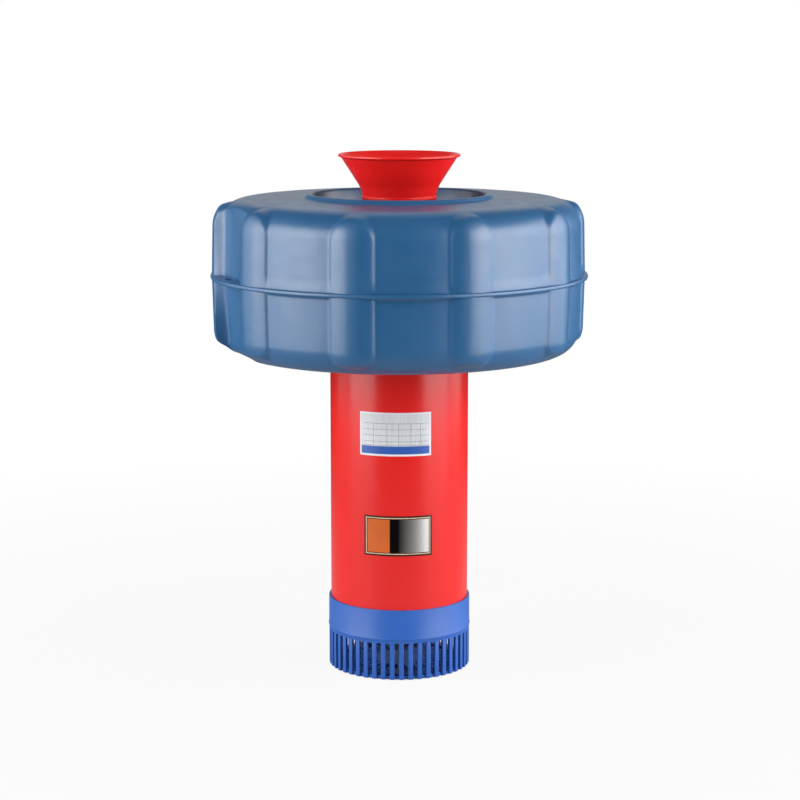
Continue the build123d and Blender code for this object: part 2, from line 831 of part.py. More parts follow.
upper_bearing_bracket = turned(
    [
        (shaft_hole, upper_bearing_z + bearing_width),
        (housing_bore, upper_bearing_z + bearing_width),
        (housing_bore, upper_bearing_z),
        (housing_radius, upper_bearing_z),
        (housing_radius, upper_bearing_z + bearing_width - bracket_step),
        (casing_bore, upper_bearing_z + bearing_width - bracket_step),
        (casing_bore, upper_bearing_z + bearing_width + bracket_cover),
        (shaft_hole, upper_bearing_z + bearing_width + bracket_cover),
    ]
)
upper_bearing_bracket.part.label = "upper_bearing_bracket"
export_step(upper_bearing_bracket.part, "parts/upper_bearing_bracket.step")

# The two ball bearings: a ring in the housing, a ring on the shaft and the balls in their cage
inner_ring_radius = shaft_radius + bearing_ring_wall
outer_ring_bore = bearing_outer_radius - bearing_ring_wall
for place, bottom_z in (("lower", lower_bearing_z), ("upper", upper_bearing_z)):
    top_z = bottom_z + bearing_width
    outer_ring = tube(bearing_outer_radius, outer_ring_bore, bottom_z, top_z)
    outer_ring.part.label = f"{place}_bearing_outer_ring"
    export_step(outer_ring.part, f"parts/{place}_bearing_outer_ring.step")
    inner_ring = tube(inner_ring_radius, shaft_radius, bottom_z, top_z)
    inner_ring.part.label = f"{place}_bearing_inner_ring"
    export_step(inner_ring.part, f"parts/{place}_bearing_inner_ring.step")
    cage_foot_z = bottom_z + cage_recess
    cage_top_z = top_z - cage_recess
    ball_cage = tube(
        outer_ring_bore - ball_set_gap, inner_ring_radius + ball_set_gap, cage_foot_z, cage_top_z
    )
    ball_cage.part.label = f"{place}_ball_cage"
    export_step(ball_cage.part, f"parts/{place}_ball_cage.step")

# Shaft seal: a fixed seat in the end bell and a sprung ring on the shaft that runs on it
seal_seat = tube(seal_seat_radius, shaft_radius + seal_seat_gap, seal_face_z, seal_seat_top_z)
seal_seat.part.label = "seal_seat"
export_step(seal_seat.part, "parts/seal_seat.step")

seal_head = tube(seal_seat_radius - seal_head_inset, shaft_radius, shaft_step_z, seal_face_z - seal_face_gap)
seal_head.part.label = "seal_head"
export_step(seal_head.part, "parts/seal_head.step")

# Shaft with its impeller seat at the foot and its thicker middle for the rotor core
with BuildPart() as rotor_shaft:
    with BuildSketch(Plane.XZ):
        with BuildLine():
            Polyline(
                (0, shaft_bottom_z),
                (shaft_foot_radius, shaft_bottom_z),
                (shaft_foot_radius, shaft_step_z),
                (shaft_radius, shaft_step_z),
                (shaft_radius, stator_bottom_z - shaft_core_overhang),
                (shaft_core_radius, stator_bottom_z - shaft_core_overhang),
                (shaft_core_radius, stator_top_z + shaft_core_overhang),
                (shaft_radius, stator_top_z + shaft_core_overhang),
                (shaft_radius, shaft_top_z),
                (0, shaft_top_z),
                close=True,
            )
        make_face()
    revolve(axis=Axis.Z)
    with BuildSketch(Plane.XY.offset(key_bottom_z)):
        with Locations((shaft_foot_radius, 0)):
            Rectangle(key_depth, key_width)
    extrude(amount=key_length, mode=Mode.SUBTRACT)
rotor_shaft.part.label = "rotor_shaft"
export_step(rotor_shaft.part, "parts/rotor_shaft.step")

rotor_core = tube(stator_bore_radius - air_gap, shaft_core_radius, stator_bottom_z, stator_top_z)
rotor_core.part.label = "rotor_core"
export_step(rotor_core.part, "parts/rotor_core.step")

with BuildPart() as impeller_key:
    with BuildSketch(Plane.XY.offset(key_bottom_z)):
        with Locations((shaft_foot_radius, 0)):
            Rectangle(key_depth, key_width)
    extrude(amount=key_length)
impeller_key.part.label = "impeller_key"
export_step(impeller_key.part, "parts/impeller_key.step")

# Impeller: a cone hub with blades that twist from a steep root to a flat tip
blade_mid_z = (impeller_bottom_z + impeller_top_z) / 2
blade_root_x = impeller_foot_radius - blade_overlap
blade_tip_x = impeller_tip_radius + blade_overlap


def blade_section(distance, length, angle):
    """One blade section, square to the blade's reach: a plate with a thin edge at each end."""
    half_length = length / 2
    half_thickness = blade_thickness / 2
    with BuildSketch(Plane.YZ.offset(distance)) as section:
        with Locations(Location((0, blade_mid_z, 0), (0, 0, angle))):
            Polygon(
                (-half_length, 0),
                (0, -half_thickness),
                (half_length, 0),
                (0, half_thickness),
            )
    return section


with BuildPart() as impeller_blade:
    add(blade_section(blade_root_x, blade_root_length, blade_root_angle).sketch)
    add(blade_section(blade_tip_x, blade_tip_length, blade_tip_angle).sketch)
    loft(ruled=True)
with BuildPart() as impeller:
    with PolarLocations(0, impeller_blade_count):
        add(impeller_blade.part)
    with BuildSketch(Plane.XY.offset(impeller_bottom_z)):
        Circle(impeller_tip_radius)
    extrude(amount=impeller_top_z - impeller_bottom_z, mode=Mode.INTERSECT)
    with BuildSketch(Plane.XZ):
        with BuildLine():
            Polyline(
                (0, impeller_bottom_z),
                (impeller_foot_radius, impeller_bottom_z),
                (impeller_shoulder_radius, impeller_top_z - impeller_shoulder_height),
                (impeller_shoulder_radius, impeller_top_z),
                (0, impeller_top_z),
                close=True,
            )
        make_face()
    revolve(axis=Axis.Z)
    with BuildSketch(Plane.XY.offset(impeller_bottom_z)):
        Circle(shaft_foot_radius)
        with Locations((shaft_foot_radius, 0)):
            Rectangle(key_depth, key_width)
    extrude(amount=ALL_THE_WAY, mode=Mode.SUBTRACT)
impeller.part.label = "impeller"
export_step(impeller.part, "parts/impeller.step")

with BuildPart() as impeller_nut:
    with BuildSketch(Plane.XY.offset(impeller_bottom_z)):
        RegularPolygon(impeller_nut_radius, 6)
    extrude(amount=-(impeller_bottom_z - shaft_bottom_z - shaft_foot_reach))
    with BuildSketch(Plane.XY.offset(shaft_bottom_z)):
        Circle(shaft_foot_radius)
    extrude(amount=ALL_THE_WAY, mode=Mode.SUBTRACT)
impeller_nut.part.label = "impeller_nut"
export_step(impeller_nut.part, "parts/impeller_nut.step")

# Guide vanes: curved plates between a cone hub, which holds the seal chamber, and a ring in the barrel
with BuildPart() as guide_hub:
    with BuildSketch(Plane.XZ):
        with BuildLine():
            Polyline(
                (shaft_foot_radius + ball_set_gap, guide_hub_bottom_z),
                (guide_hub_radius, guide_hub_bottom_z),
                (casing_radius, guide_ring_top_z - guide_hub_rim),
                (casing_radius, guide_ring_top_z),
                (seal_chamber_radius, guide_ring_top_z),
                (seal_chamber_radius, shaft_step_z - seal_chamber_gap),
                (shaft_foot_radius + ball_set_gap, shaft_step_z - seal_chamber_gap),
                close=True,
            )
        make_face()
    revolve(axis=Axis.Z)
guide_hub.part.label = "guide_hub"
export_step(guide_hub.part, "parts/guide_hub.step")

with BuildPart() as guide_ring:
    with BuildSketch(Plane.XY.offset(barrel_bottom_z)):
        Circle(guide_ring_radius)
        Circle(guide_ring_bore_radius, mode=Mode.SUBTRACT)
    extrude(amount=guide_ring_top_z - barrel_bottom_z)
    with around(strainer_screw_azimuths):
        add(strainer_screw_hole.part, mode=Mode.SUBTRACT)
guide_ring.part.label = "guide_ring"
export_step(guide_ring.part, "parts/guide_ring.step")

with BuildPart() as guide_vane:
    with BuildSketch(Plane.YZ.offset(guide_hub_radius)):
        with BuildLine():
            TangentArc(
                (0, guide_ring_top_z),
                (-guide_vane_sweep, guide_hub_bottom_z),
                tangent=(0, -1),
            )
        trace(line_width=guide_vane_thickness)
    extrude(amount=guide_ring_bore_radius - guide_hub_radius + guide_vane_thickness)
    add(guide_hub.part, mode=Mode.SUBTRACT)
    with BuildSketch(Plane.XY.offset(guide_hub_bottom_z + guide_vane_end_gap)):
        Circle(guide_ring_bore_radius)
    extrude(
        amount=guide_ring_top_z - guide_hub_bottom_z - 2 * guide_vane_end_gap, mode=Mode.INTERSECT
    )
with BuildPart() as guide_vanes:
    with PolarLocations(0, guide_vane_count):
        add(guide_vane.part)
guide_vanes.part.label = "guide_vanes"
export_step(guide_vanes.part, "parts/guide_vanes.step")
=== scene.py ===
# %% [markdown]
# # A floating pond pump
# The real pump hangs in the water from a blue ring float. A red pipe holds the motor, a slotted cup
# at its foot strains the water, and a red trumpet throws the water out on top. The CAD model gives
# every piece its place, so the scene starts by loading it and only adds the looks.

# %% Load the frame
import math

import bmesh
import bpy
import mathutils
import numpy as np
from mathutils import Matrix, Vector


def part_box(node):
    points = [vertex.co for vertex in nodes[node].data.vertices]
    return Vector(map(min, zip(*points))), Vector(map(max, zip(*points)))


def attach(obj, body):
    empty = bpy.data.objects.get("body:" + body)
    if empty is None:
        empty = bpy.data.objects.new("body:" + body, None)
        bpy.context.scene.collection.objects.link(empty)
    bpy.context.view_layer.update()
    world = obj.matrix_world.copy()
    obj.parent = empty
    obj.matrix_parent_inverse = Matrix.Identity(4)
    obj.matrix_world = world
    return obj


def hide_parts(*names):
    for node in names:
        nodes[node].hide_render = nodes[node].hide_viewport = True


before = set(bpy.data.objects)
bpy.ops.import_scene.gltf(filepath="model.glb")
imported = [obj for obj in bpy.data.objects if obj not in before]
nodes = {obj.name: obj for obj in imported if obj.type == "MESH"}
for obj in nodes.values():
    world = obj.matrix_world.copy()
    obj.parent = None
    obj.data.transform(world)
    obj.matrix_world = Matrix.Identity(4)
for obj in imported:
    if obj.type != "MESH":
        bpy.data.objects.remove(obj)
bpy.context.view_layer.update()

# %% [markdown]
# ## Camera
# The photograph was taken from a little above the float with a long lens. The camera could be aimed
# by eye, but matching the edges of the round parts gives its height, tilt and focal length, so those
# are written as they came out, in metres, degrees and millimetres.

# %% Camera
CAMERA_PLACE = (0.0009, -2.536, 0.747)
CAMERA_PITCH = -9.72
CAMERA_LENS = 99.6
SENSOR_WIDTH = 36.0

camera_data = bpy.data.cameras.new("camera")
camera_data.lens = CAMERA_LENS
camera_data.sensor_width = SENSOR_WIDTH
camera = bpy.data.objects.new("camera", camera_data)
camera.location = CAMERA_PLACE
camera.rotation_euler = (math.radians(90 + CAMERA_PITCH), 0, 0)
bpy.context.scene.collection.objects.link(camera)
bpy.context.scene.camera = camera
print("camera at", CAMERA_PLACE, "with a lens of", CAMERA_LENS, "mm")

# %% [markdown]
# ## Finishing a piece
# Every piece ends the same way: its mesh becomes an object at the origin, it rides on a body of the
# pump, and it takes a material slot. One helper does this, so that no step is forgotten. Lengths are
# written in millimetres, as on a drawing, and turned into metres at the end.

# %% Helpers for pieces
MM = 0.001


def finish_piece(bm, name, body, material, smooth_angle=35.0, replaces=()):
    """Turns a bmesh in millimetres into a piece that rides on a body of the pump."""
    bmesh.ops.scale(bm, vec=(MM, MM, MM), verts=bm.verts)
    mesh = bpy.data.meshes.new(name)
    bm.to_mesh(mesh)
    bm.free()
    mesh.materials.append(material)
    mesh.shade_smooth()
    mesh.set_sharp_from_angle(angle=math.radians(smooth_angle))
    piece = bpy.data.objects.new(name, mesh)
    bpy.context.scene.collection.objects.link(piece)
    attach(piece, body)
    if replaces:
        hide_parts(*replaces)
    print(name, "has", len(mesh.polygons), "faces")
    return piece


def rounded_profile(corners, arc_spacing=1.0):
    """A half section as (radius, height) points, each corner (radius, height, rounding) made round."""
    points = []
    for index, (x, z, rounding) in enumerate(corners):
        if rounding == 0:
            points.append((x, z))
            continue
        here = np.array((x, z))
        back = np.array(corners[index - 1][:2]) - here
        ahead = np.array(corners[(index + 1) % len(corners)][:2]) - here
        back /= np.linalg.norm(back)
        ahead /= np.linalg.norm(ahead)
        half = math.acos(np.clip(np.dot(back, ahead), -1, 1)) / 2
        middle = (back + ahead) / np.linalg.norm(back + ahead)
        centre = here + middle * rounding / math.sin(half)
        start = here + back * rounding / math.tan(half) - centre
        turn = math.copysign(math.pi - 2 * half, start[0] * ahead[1] - start[1] * ahead[0])
        rows = max(3, round(abs(turn) * rounding / arc_spacing))
        for row in range(rows + 1):
            cosine, sine = math.cos(turn * row / rows), math.sin(turn * row / rows)
            across = centre[0] + start[0] * cosine - start[1] * sine
            points.append((across, centre[1] + start[0] * sine + start[1] * cosine))
    return points


def spun(points, steps):
    """A closed half section of (radius, height) points, spun into a ring about the pump's axis."""
    bm = bmesh.new()
    ring = [bm.verts.new((x, 0, z)) for x, z in points]
    edges = [bm.edges.new((ring[index - 1], ring[index])) for index in range(len(ring))]
    bmesh.ops.spin(
        bm,
        geom=ring + edges,
        cent=(0, 0, 0),
        axis=(0, 0, 1),
        angle=2 * math.pi,
        steps=steps,
        use_merge=True,
    )
    bmesh.ops.recalc_face_normals(bm, faces=bm.faces)
    return bm


# %% [markdown]
# ## Moulded plastic
# The float, the trumpet, the strainer and the pipe are all plastic, but each has its own gloss. A flat
# colour would look like paint on glass. A soft noise that lightens and darkens the colour, a second
# one in the roughness and a fine bump for the moulded peel give each its own skin. Every pattern
# reads Object coordinates, so it stays on the piece when the piece moves.

# %% Helpers for materials
def new_material(name, colour, roughness, metallic=0.0, specular=0.5, coat=0.0, coat_roughness=0.1):
    """A material with its shader, and the coordinates that its patterns read."""
    material = bpy.data.materials.new(name)
    material.use_nodes = True
    material.diffuse_color = (*colour, 1)
    tree = material.node_tree
    shader = tree.nodes["Principled BSDF"]
    shader.inputs["Base Color"].default_value = (*colour, 1)
    shader.inputs["Roughness"].default_value = roughness
    shader.inputs["Metallic"].default_value = metallic
    shader.inputs["Specular IOR Level"].default_value = specular
    shader.inputs["Coat Weight"].default_value = coat
    shader.inputs["Coat Roughness"].default_value = coat_roughness
    place = tree.nodes.new("ShaderNodeTexCoord")
    return material, tree, shader, place


def noise(tree, place, scale, detail=3.0, stretch=None):
    """A noise over the piece; scale is in cycles per metre and stretch squeezes it along each axis."""
    texture = tree.nodes.new("ShaderNodeTexNoise")
    texture.inputs["Scale"].default_value = scale
    texture.inputs["Detail"].default_value = detail
    source = place.outputs["Object"]
    if stretch:
        mapping = tree.nodes.new("ShaderNodeMapping")
        mapping.inputs["Scale"].default_value = stretch
        tree.links.new(source, mapping.inputs["Vector"])
        source = mapping.outputs["Vector"]
    tree.links.new(source, texture.inputs["Vector"])
    return texture.outputs["Fac"]


def ramp(tree, value, low, high, start=0.3, end=0.7):
    """Turns a 0 to 1 pattern into a value or a colour that runs from low to high."""
    ramp_node = tree.nodes.new("ShaderNodeValToRGB")
    band = ramp_node.color_ramp
    band.elements[0].position = start
    band.elements[1].position = end
    band.elements[0].color = (*low, 1) if isinstance(low, tuple) else (low, low, low, 1)
    band.elements[1].color = (*high, 1) if isinstance(high, tuple) else (high, high, high, 1)
    tree.links.new(value, ramp_node.inputs["Fac"])
    return ramp_node.outputs["Color"]


def bump(tree, shader, value, depth, strength=1.0, below=None):
    """Raises the surface by a pattern; depth is in metres, and below is a bump already made."""
    bump_node = tree.nodes.new("ShaderNodeBump")
    bump_node.inputs["Distance"].default_value = depth
    bump_node.inputs["Strength"].default_value = strength
    tree.links.new(value, bump_node.inputs["Height"])
    if below:
        tree.links.new(below, bump_node.inputs["Normal"])
    tree.links.new(bump_node.outputs["Normal"], shader.inputs["Normal"])
    return bump_node.outputs["Normal"]


def tinted(colour, factor):
    """The colour made lighter or darker by a factor."""
    return tuple(min(1.0, channel * factor) for channel in colour)


def math_node(tree, operation, first, second=0.0):
    """One Math node; each input is a socket or a number."""
    node = tree.nodes.new("ShaderNodeMath")
    node.operation = operation
    for index, value in enumerate((first, second)):
        if isinstance(value, (int, float)):
            node.inputs[index].default_value = value
        else:
            tree.links.new(value, node.inputs[index])
    return node.outputs[0]


def moulded_plastic(name, colour, gloss, mottle, mottle_size, peel, specular=0.5):
    """Plastic with a faint mottle, an uneven gloss from gloss[0] to gloss[1] and a fine peel."""
    material, tree, shader, place = new_material(name, colour, gloss[0], specular=specular)
    patches = noise(tree, place, mottle_size, 5.0)
    tint = ramp(tree, patches, tinted(colour, 1 - mottle), tinted(colour, 1 + mottle))
    tree.links.new(tint, shader.inputs["Base Color"])
    wipe = noise(tree, place, WIPE_SIZE, 4.0)
    tree.links.new(ramp(tree, wipe, gloss[0], gloss[1]), shader.inputs["Roughness"])
    skin = noise(tree, place, PEEL_SIZE, 2.0)
    waves = noise(tree, place, WAVES_SIZE, 1.0)
    lower = bump(tree, shader, waves, peel * 3, 0.5)
    bump(tree, shader, skin, peel, 0.6, lower)
    return material


print("helpers for materials are ready")

# %% Plastics
WIPE_SIZE = 55.0
PEEL_SIZE = 900.0
WAVES_SIZE = 60.0
FLOAT_BLUE = (0.013, 0.108, 0.266)
BARREL_RED = (0.77, 0.014, 0.012)
TRUMPET_RED = (0.90, 0.014, 0.012)
STRAINER_BLUE = (0.028, 0.120, 0.470)

NYLON_BLACK = (0.018, 0.018, 0.019)
IMPELLER_GREY = (0.035, 0.038, 0.042)
RUBBER_BLACK = (0.012, 0.012, 0.012)

float_skin = moulded_plastic(
    "float_polyethylene", FLOAT_BLUE, (0.35, 0.43), mottle=0.05, mottle_size=14.0, peel=0.00010, specular=0.95
)
barrel_skin = moulded_plastic(
    "barrel_pipe_red", BARREL_RED, (0.24, 0.26), mottle=0.02, mottle_size=22.0, peel=0.00003, specular=0.62
)
trumpet_skin = moulded_plastic(
    "trumpet_red", TRUMPET_RED, (0.28, 0.31), mottle=0.03, mottle_size=40.0, peel=0.00005
)
strainer_skin = moulded_plastic(
    "strainer_blue", STRAINER_BLUE, (0.40, 0.44), mottle=0.04, mottle_size=40.0, peel=0.00005, specular=0.4
)
black_nylon = moulded_plastic(
    "black_nylon", NYLON_BLACK, (0.34, 0.46), mottle=0.10, mottle_size=60.0, peel=0.00004
)
impeller_nylon = moulded_plastic(
    "impeller_nylon", IMPELLER_GREY, (0.38, 0.50), mottle=0.12, mottle_size=50.0, peel=0.00005
)
rubber_skin = moulded_plastic(
    "black_rubber", RUBBER_BLACK, (0.62, 0.78), mottle=0.15, mottle_size=80.0, peel=0.00006, specular=0.3
)
print("plastics:", float_skin.name, barrel_skin.name, trumpet_skin.name, strainer_skin.name)

# %% [markdown]
# ## Metals inside
# The motor shows only through the slots and down the throat, but every piece still gets the finish
# that it has: drawn stainless for the casing and the shaft, turned steel for the screws and rings, painted
# castings, stacked laminations and lacquered copper. A photograph of brushed metal would repeat, so brushing
# is a noise
# squeezed along one axis. The stack is a wave along the pump's axis, one crest to a sheet.

# %% Metal helpers
WAVE_TURNS = 20.0  # a wave texture makes this many radians in one unit at a scale of 1


def drawn_metal(name, colour, roughness, stretch, depth=0.00002):
    """Metal with fine draw marks, long in the direction where stretch is small."""
    material, tree, shader, place = new_material(name, colour, roughness, metallic=1.0)
    marks = noise(tree, place, 900.0, 3.0, stretch)
    tree.links.new(ramp(tree, marks, roughness * 0.75, roughness * 1.35), shader.inputs["Roughness"])
    stains = noise(tree, place, 30.0, 4.0)
    tint = ramp(tree, stains, tinted(colour, 0.86), tinted(colour, 1.06))
    tree.links.new(tint, shader.inputs["Base Color"])
    bump(tree, shader, marks, depth, 0.5)
    return material


def painted_casting(name, colour, roughness):
    """A sand casting under thick paint: pits, soft lumps and a little wear in the gloss."""
    material, tree, shader, place = new_material(name, colour, roughness)
    grain = noise(tree, place, 420.0, 4.0)
    lumps = noise(tree, place, 70.0, 2.0)
    tint = ramp(tree, lumps, tinted(colour, 0.8), tinted(colour, 1.2))
    tree.links.new(tint, shader.inputs["Base Color"])
    tree.links.new(ramp(tree, grain, roughness * 0.8, roughness * 1.2), shader.inputs["Roughness"])
    lower = bump(tree, shader, lumps, 0.0004, 0.4)
    bump(tree, shader, grain, 0.00012, 0.7, lower)
    return material


def layered(name, colour, roughness, metallic, pitch, depth):
    """Sheets or turns of wire stacked along the pump's axis, pitch apart in metres."""
    material, tree, shader, place = new_material(name, colour, roughness, metallic=metallic)
    wave = tree.nodes.new("ShaderNodeTexWave")
    wave.bands_direction = "Z"
    wave.inputs["Scale"].default_value = math.tau / (WAVE_TURNS * pitch)
    wave.inputs["Distortion"].default_value = 0.4
    tree.links.new(place.outputs["Object"], wave.inputs["Vector"])
    tint = ramp(tree, wave.outputs["Fac"], tinted(colour, 0.55), colour, 0.1, 0.6)
    tree.links.new(tint, shader.inputs["Base Color"])
    bump(tree, shader, wave.outputs["Fac"], depth, 0.8)
    return material


print("helpers for metals are ready")

# %% Metals
STAINLESS_GREY = (0.66, 0.66, 0.65)
STEEL_GREY = (0.60, 0.59, 0.57)
CASTING_GREY = (0.085, 0.090, 0.095)
IRON_GREY = (0.15, 0.15, 0.15)
SHEET_GREY = (0.24, 0.23, 0.22)
COPPER = (0.62, 0.25, 0.10)
CERAMIC_WHITE = (0.80, 0.79, 0.75)
ALONG_AXIS = (1, 1, 0.05)
AROUND_AXIS = (0.15, 0.15, 1)

stainless = drawn_metal("drawn_stainless", STAINLESS_GREY, 0.28, ALONG_AXIS)
turned_steel = drawn_metal("turned_steel", STEEL_GREY, 0.30, AROUND_AXIS)
grey_casting = painted_casting("grey_painted_casting", CASTING_GREY, 0.46)
machined_iron = painted_casting("machined_iron", IRON_GREY, 0.42)
lamination_stack = layered("lamination_stack", SHEET_GREY, 0.45, metallic=0.8, pitch=0.001, depth=0.0002)
copper_winding = layered("copper_winding", COPPER, 0.32, metallic=0.9, pitch=0.0014, depth=0.0004)
seal_ceramic = moulded_plastic(
    "seal_ceramic", CERAMIC_WHITE, (0.18, 0.26), mottle=0.03, mottle_size=60.0, peel=0.00001
)
print("metals:", stainless.name, turned_steel.name, grey_casting.name)

# %% [markdown]
# ## Finishes of the CAD pieces
# Most pieces of the motor keep the CAD mesh, because their shape is right, and only need a finish. A
# list by node name says which one. Screws, washers and rings that it doesn't name are turned steel.

# %% Materials of the CAD nodes
finish_of_node = {
    "barrel": barrel_skin,
    "strainer": strainer_skin,
    "trumpet": trumpet_skin,
    "float_shell": float_skin,
    "float_collar": float_skin,
    "discharge_head": grey_casting,
    "motor_top_cap": grey_casting,
    "lower_end_bell": machined_iron,
    "upper_bearing_bracket": machined_iron,
    "motor_casing": stainless,
    "rotor_shaft": stainless,
    "cable_gland_body": black_nylon,
    "gland_nut": black_nylon,
    "capacitor": black_nylon,
    "motor_spider": black_nylon,
    "guide_vanes": black_nylon,
    "guide_hub": black_nylon,
    "guide_ring": black_nylon,
    "impeller": impeller_nylon,
    "head_gasket": rubber_skin,
    "gland_seal": rubber_skin,
    "seal_head": rubber_skin,
    "seal_seat": seal_ceramic,
    "stator_core": lamination_stack,
    "rotor_core": lamination_stack,
    "stator_windings": copper_winding,
}
for name, node in nodes.items():
    node.data.materials.clear()
    node.data.materials.append(finish_of_node.get(name, turned_steel))
print("materials set on", len(nodes), "CAD nodes")

# %% [markdown]
# ## The float
# The real float is blown in a mould as one hollow ring: ten raised ribs, two notches for mooring rope
# and a seam that runs all round. Its edges are soft, because blown plastic never fills a sharp corner.
# Bevels on a cut-out solid would fight over so many edges. It is easier to spin a plain half section
# into a ring, with more rows and columns where the shape turns, and then to move each vertex to the
# place that a smooth formula gives.

# %% Float sizes
float_low, float_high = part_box("float_shell")
FLOAT_BOTTOM = float_low.z / MM
SEAM_HEIGHT = 459.5
FLOAT_TOP = 548.0
PANEL_RADIUS = 208.6
PANEL_DRAFT = math.tan(math.radians(1.4))
TOP_ROUNDING = 30.0
BOTTOM_ROUNDING = 28.0
LIP_OUTER = 107.0
LIP_CREST = float_high.z / MM
WELL_RADIUS = 95.0
BORE_RADIUS = 80.3
SHOULDER_HEIGHT = 440.0
LIP_EDGE = 3.5
SIDE_START = PANEL_RADIUS - 45.0

RIB_PROUD = 6.4
RIB_CROWN = 48.0
RIB_HALF_WIDTH = 26.5
RIB_BOTTOM = 381.0
RIB_TOP = 543.0
RIB_TOP_END = 25.0
RIB_BOTTOM_END = 14.0
RIB_SOFTNESS = 6.5
RIB_END_SOFTNESS = 12.0
FIRST_RIB = -50.0
RIB_PITCH = 36.0
RIBS_PER_SIDE = 5

NOTCH_AZIMUTH = -68.9
NOTCH_FLOOR = 197.0
NOTCH_HALF_WIDTH = 37.0
NOTCH_FLARE = 9.0
NOTCH_UPPER_DRAFT = math.tan(math.radians(1.5))
NOTCH_LOWER_DRAFT = math.tan(math.radians(5.0))
NOTCH_EDGE = 13.0
NOTCH_SOFTNESS = 3.0
NOTCH_WINDOW = 12.9
NOTCH_COLUMNS = 96
NOTCH_ANGLES = 1201
NOTCH_STEP = 0.4

ribs_all_round = [FIRST_RIB + RIB_PITCH * index for index in range(2 * RIBS_PER_SIDE)]
notch_azimuths = [NOTCH_AZIMUTH, NOTCH_AZIMUTH + 180]
print("ribs at", ribs_all_round)

# %% [markdown]
# The half section is drawn like a turned part: straight lines with a rounding at each corner. Rows
# that are evenly spaced would waste faces on the flat top, so the spacing follows the shape.

# %% Float half section
BORE_ROWS = 40.0
TOP_ROWS = 14.0
PANEL_ROWS = 7.0
RIB_END_ROWS = 1.6
SEAM_ROWS = 1.3
CORNER_ROWS = 1.9
RIB_MARGIN = 5.0
SEAM_MARGIN = 8.0
LONGEST_ROW = 1.5


def row_spacing(radius, height):
    """How far apart rows are: close at the ribs' arched ends and at the seam, wide elsewhere."""
    if radius < WELL_RADIUS + 1:
        return BORE_ROWS
    if radius < SIDE_START:
        return TOP_ROWS
    in_foot = RIB_BOTTOM - RIB_MARGIN < height < RIB_BOTTOM + RIB_BOTTOM_END
    if in_foot or RIB_TOP - RIB_TOP_END < height < RIB_TOP + RIB_MARGIN:
        return RIB_END_ROWS
    if abs(height - SEAM_HEIGHT) < SEAM_MARGIN:
        return SEAM_ROWS
    return PANEL_ROWS


def with_rows(outline):
    """The outline with more points where its rows would be too far apart."""
    points = []
    for start, end in zip(outline, outline[1:] + outline[:1]):
        place = start
        while math.dist(place, end) > LONGEST_ROW * row_spacing(*place):
            points.append(place)
            share = row_spacing(*place) / math.dist(place, end)
            place = (place[0] + (end[0] - place[0]) * share, place[1] + (end[1] - place[1]) * share)
        points.append(place)
    return points


panel_bottom = PANEL_RADIUS - PANEL_DRAFT * (SEAM_HEIGHT - FLOAT_BOTTOM)
panel_top = PANEL_RADIUS - PANEL_DRAFT * (FLOAT_TOP - SEAM_HEIGHT)
float_outline = with_rows(
    rounded_profile(
        [
            (BORE_RADIUS, FLOAT_BOTTOM, 1.5),
            (BORE_RADIUS, SHOULDER_HEIGHT, 0),
            (WELL_RADIUS - 2.0, SHOULDER_HEIGHT, 2.0),
            (WELL_RADIUS, LIP_CREST - 16.0, 9.0),
            (WELL_RADIUS + 4.0, LIP_CREST, LIP_EDGE),
            (LIP_OUTER - 2.0, LIP_CREST, LIP_EDGE),
            (LIP_OUTER + 1.0, FLOAT_TOP - 0.2, 4.0),
            (panel_top, FLOAT_TOP - 2.0, TOP_ROUNDING),
            (PANEL_RADIUS, SEAM_HEIGHT, 0),
            (panel_bottom, FLOAT_BOTTOM, BOTTOM_ROUNDING),
        ],
        CORNER_ROWS,
    )
)
print("rows in the float's half section:", len(float_outline))

# %% [markdown]
# The columns are set by what they cross. A rib's edge needs one every millimetre or two, a plain panel
# one every six, and a notch gets its own columns, laid along its outline.

# %% Float columns
RIB_COLUMNS = 1.5
PLAIN_COLUMNS = 5.0


def column_spacing(azimuth):
    """How far apart columns are at an azimuth, in degrees."""
    nearest = min(abs((azimuth - rib + 180) % 360 - 180) for rib in ribs_all_round)
    across = math.radians(nearest) * PANEL_RADIUS
    if 5 < across < RIB_HALF_WIDTH + 4:
        return math.degrees(RIB_COLUMNS / PANEL_RADIUS)
    return math.degrees(PLAIN_COLUMNS / PANEL_RADIUS)


plain_columns = [NOTCH_AZIMUTH + NOTCH_WINDOW]
while plain_columns[-1] < NOTCH_AZIMUTH + 180 - NOTCH_WINDOW:
    plain_columns.append(plain_columns[-1] + column_spacing(plain_columns[-1]))
plain_columns[-1] = NOTCH_AZIMUTH + 180 - NOTCH_WINDOW
plain_columns = np.array(plain_columns)
column_count = NOTCH_COLUMNS + len(plain_columns) - 1
print("columns in half a turn:", column_count)

# %% [markdown]
# A rib stands proud by a few millimetres and bulges across its width, so its lift is a crown times a
# soft edge. Its ends are arches that fade more slowly than its sides. A notch is a flat floor with
# flared sides, and a running average rounds its corners, as blowing does.

# %% Shape of the ribs and the notches
RIB_EDGE_SHARE = 0.3
NOTCH_EDGE_LIMIT = 0.98


def soft_step(value):
    """Runs from 0 to 1 as value does, with a level start and end."""
    value = np.clip(value, 0, 1)
    return value * value * (3 - 2 * value)


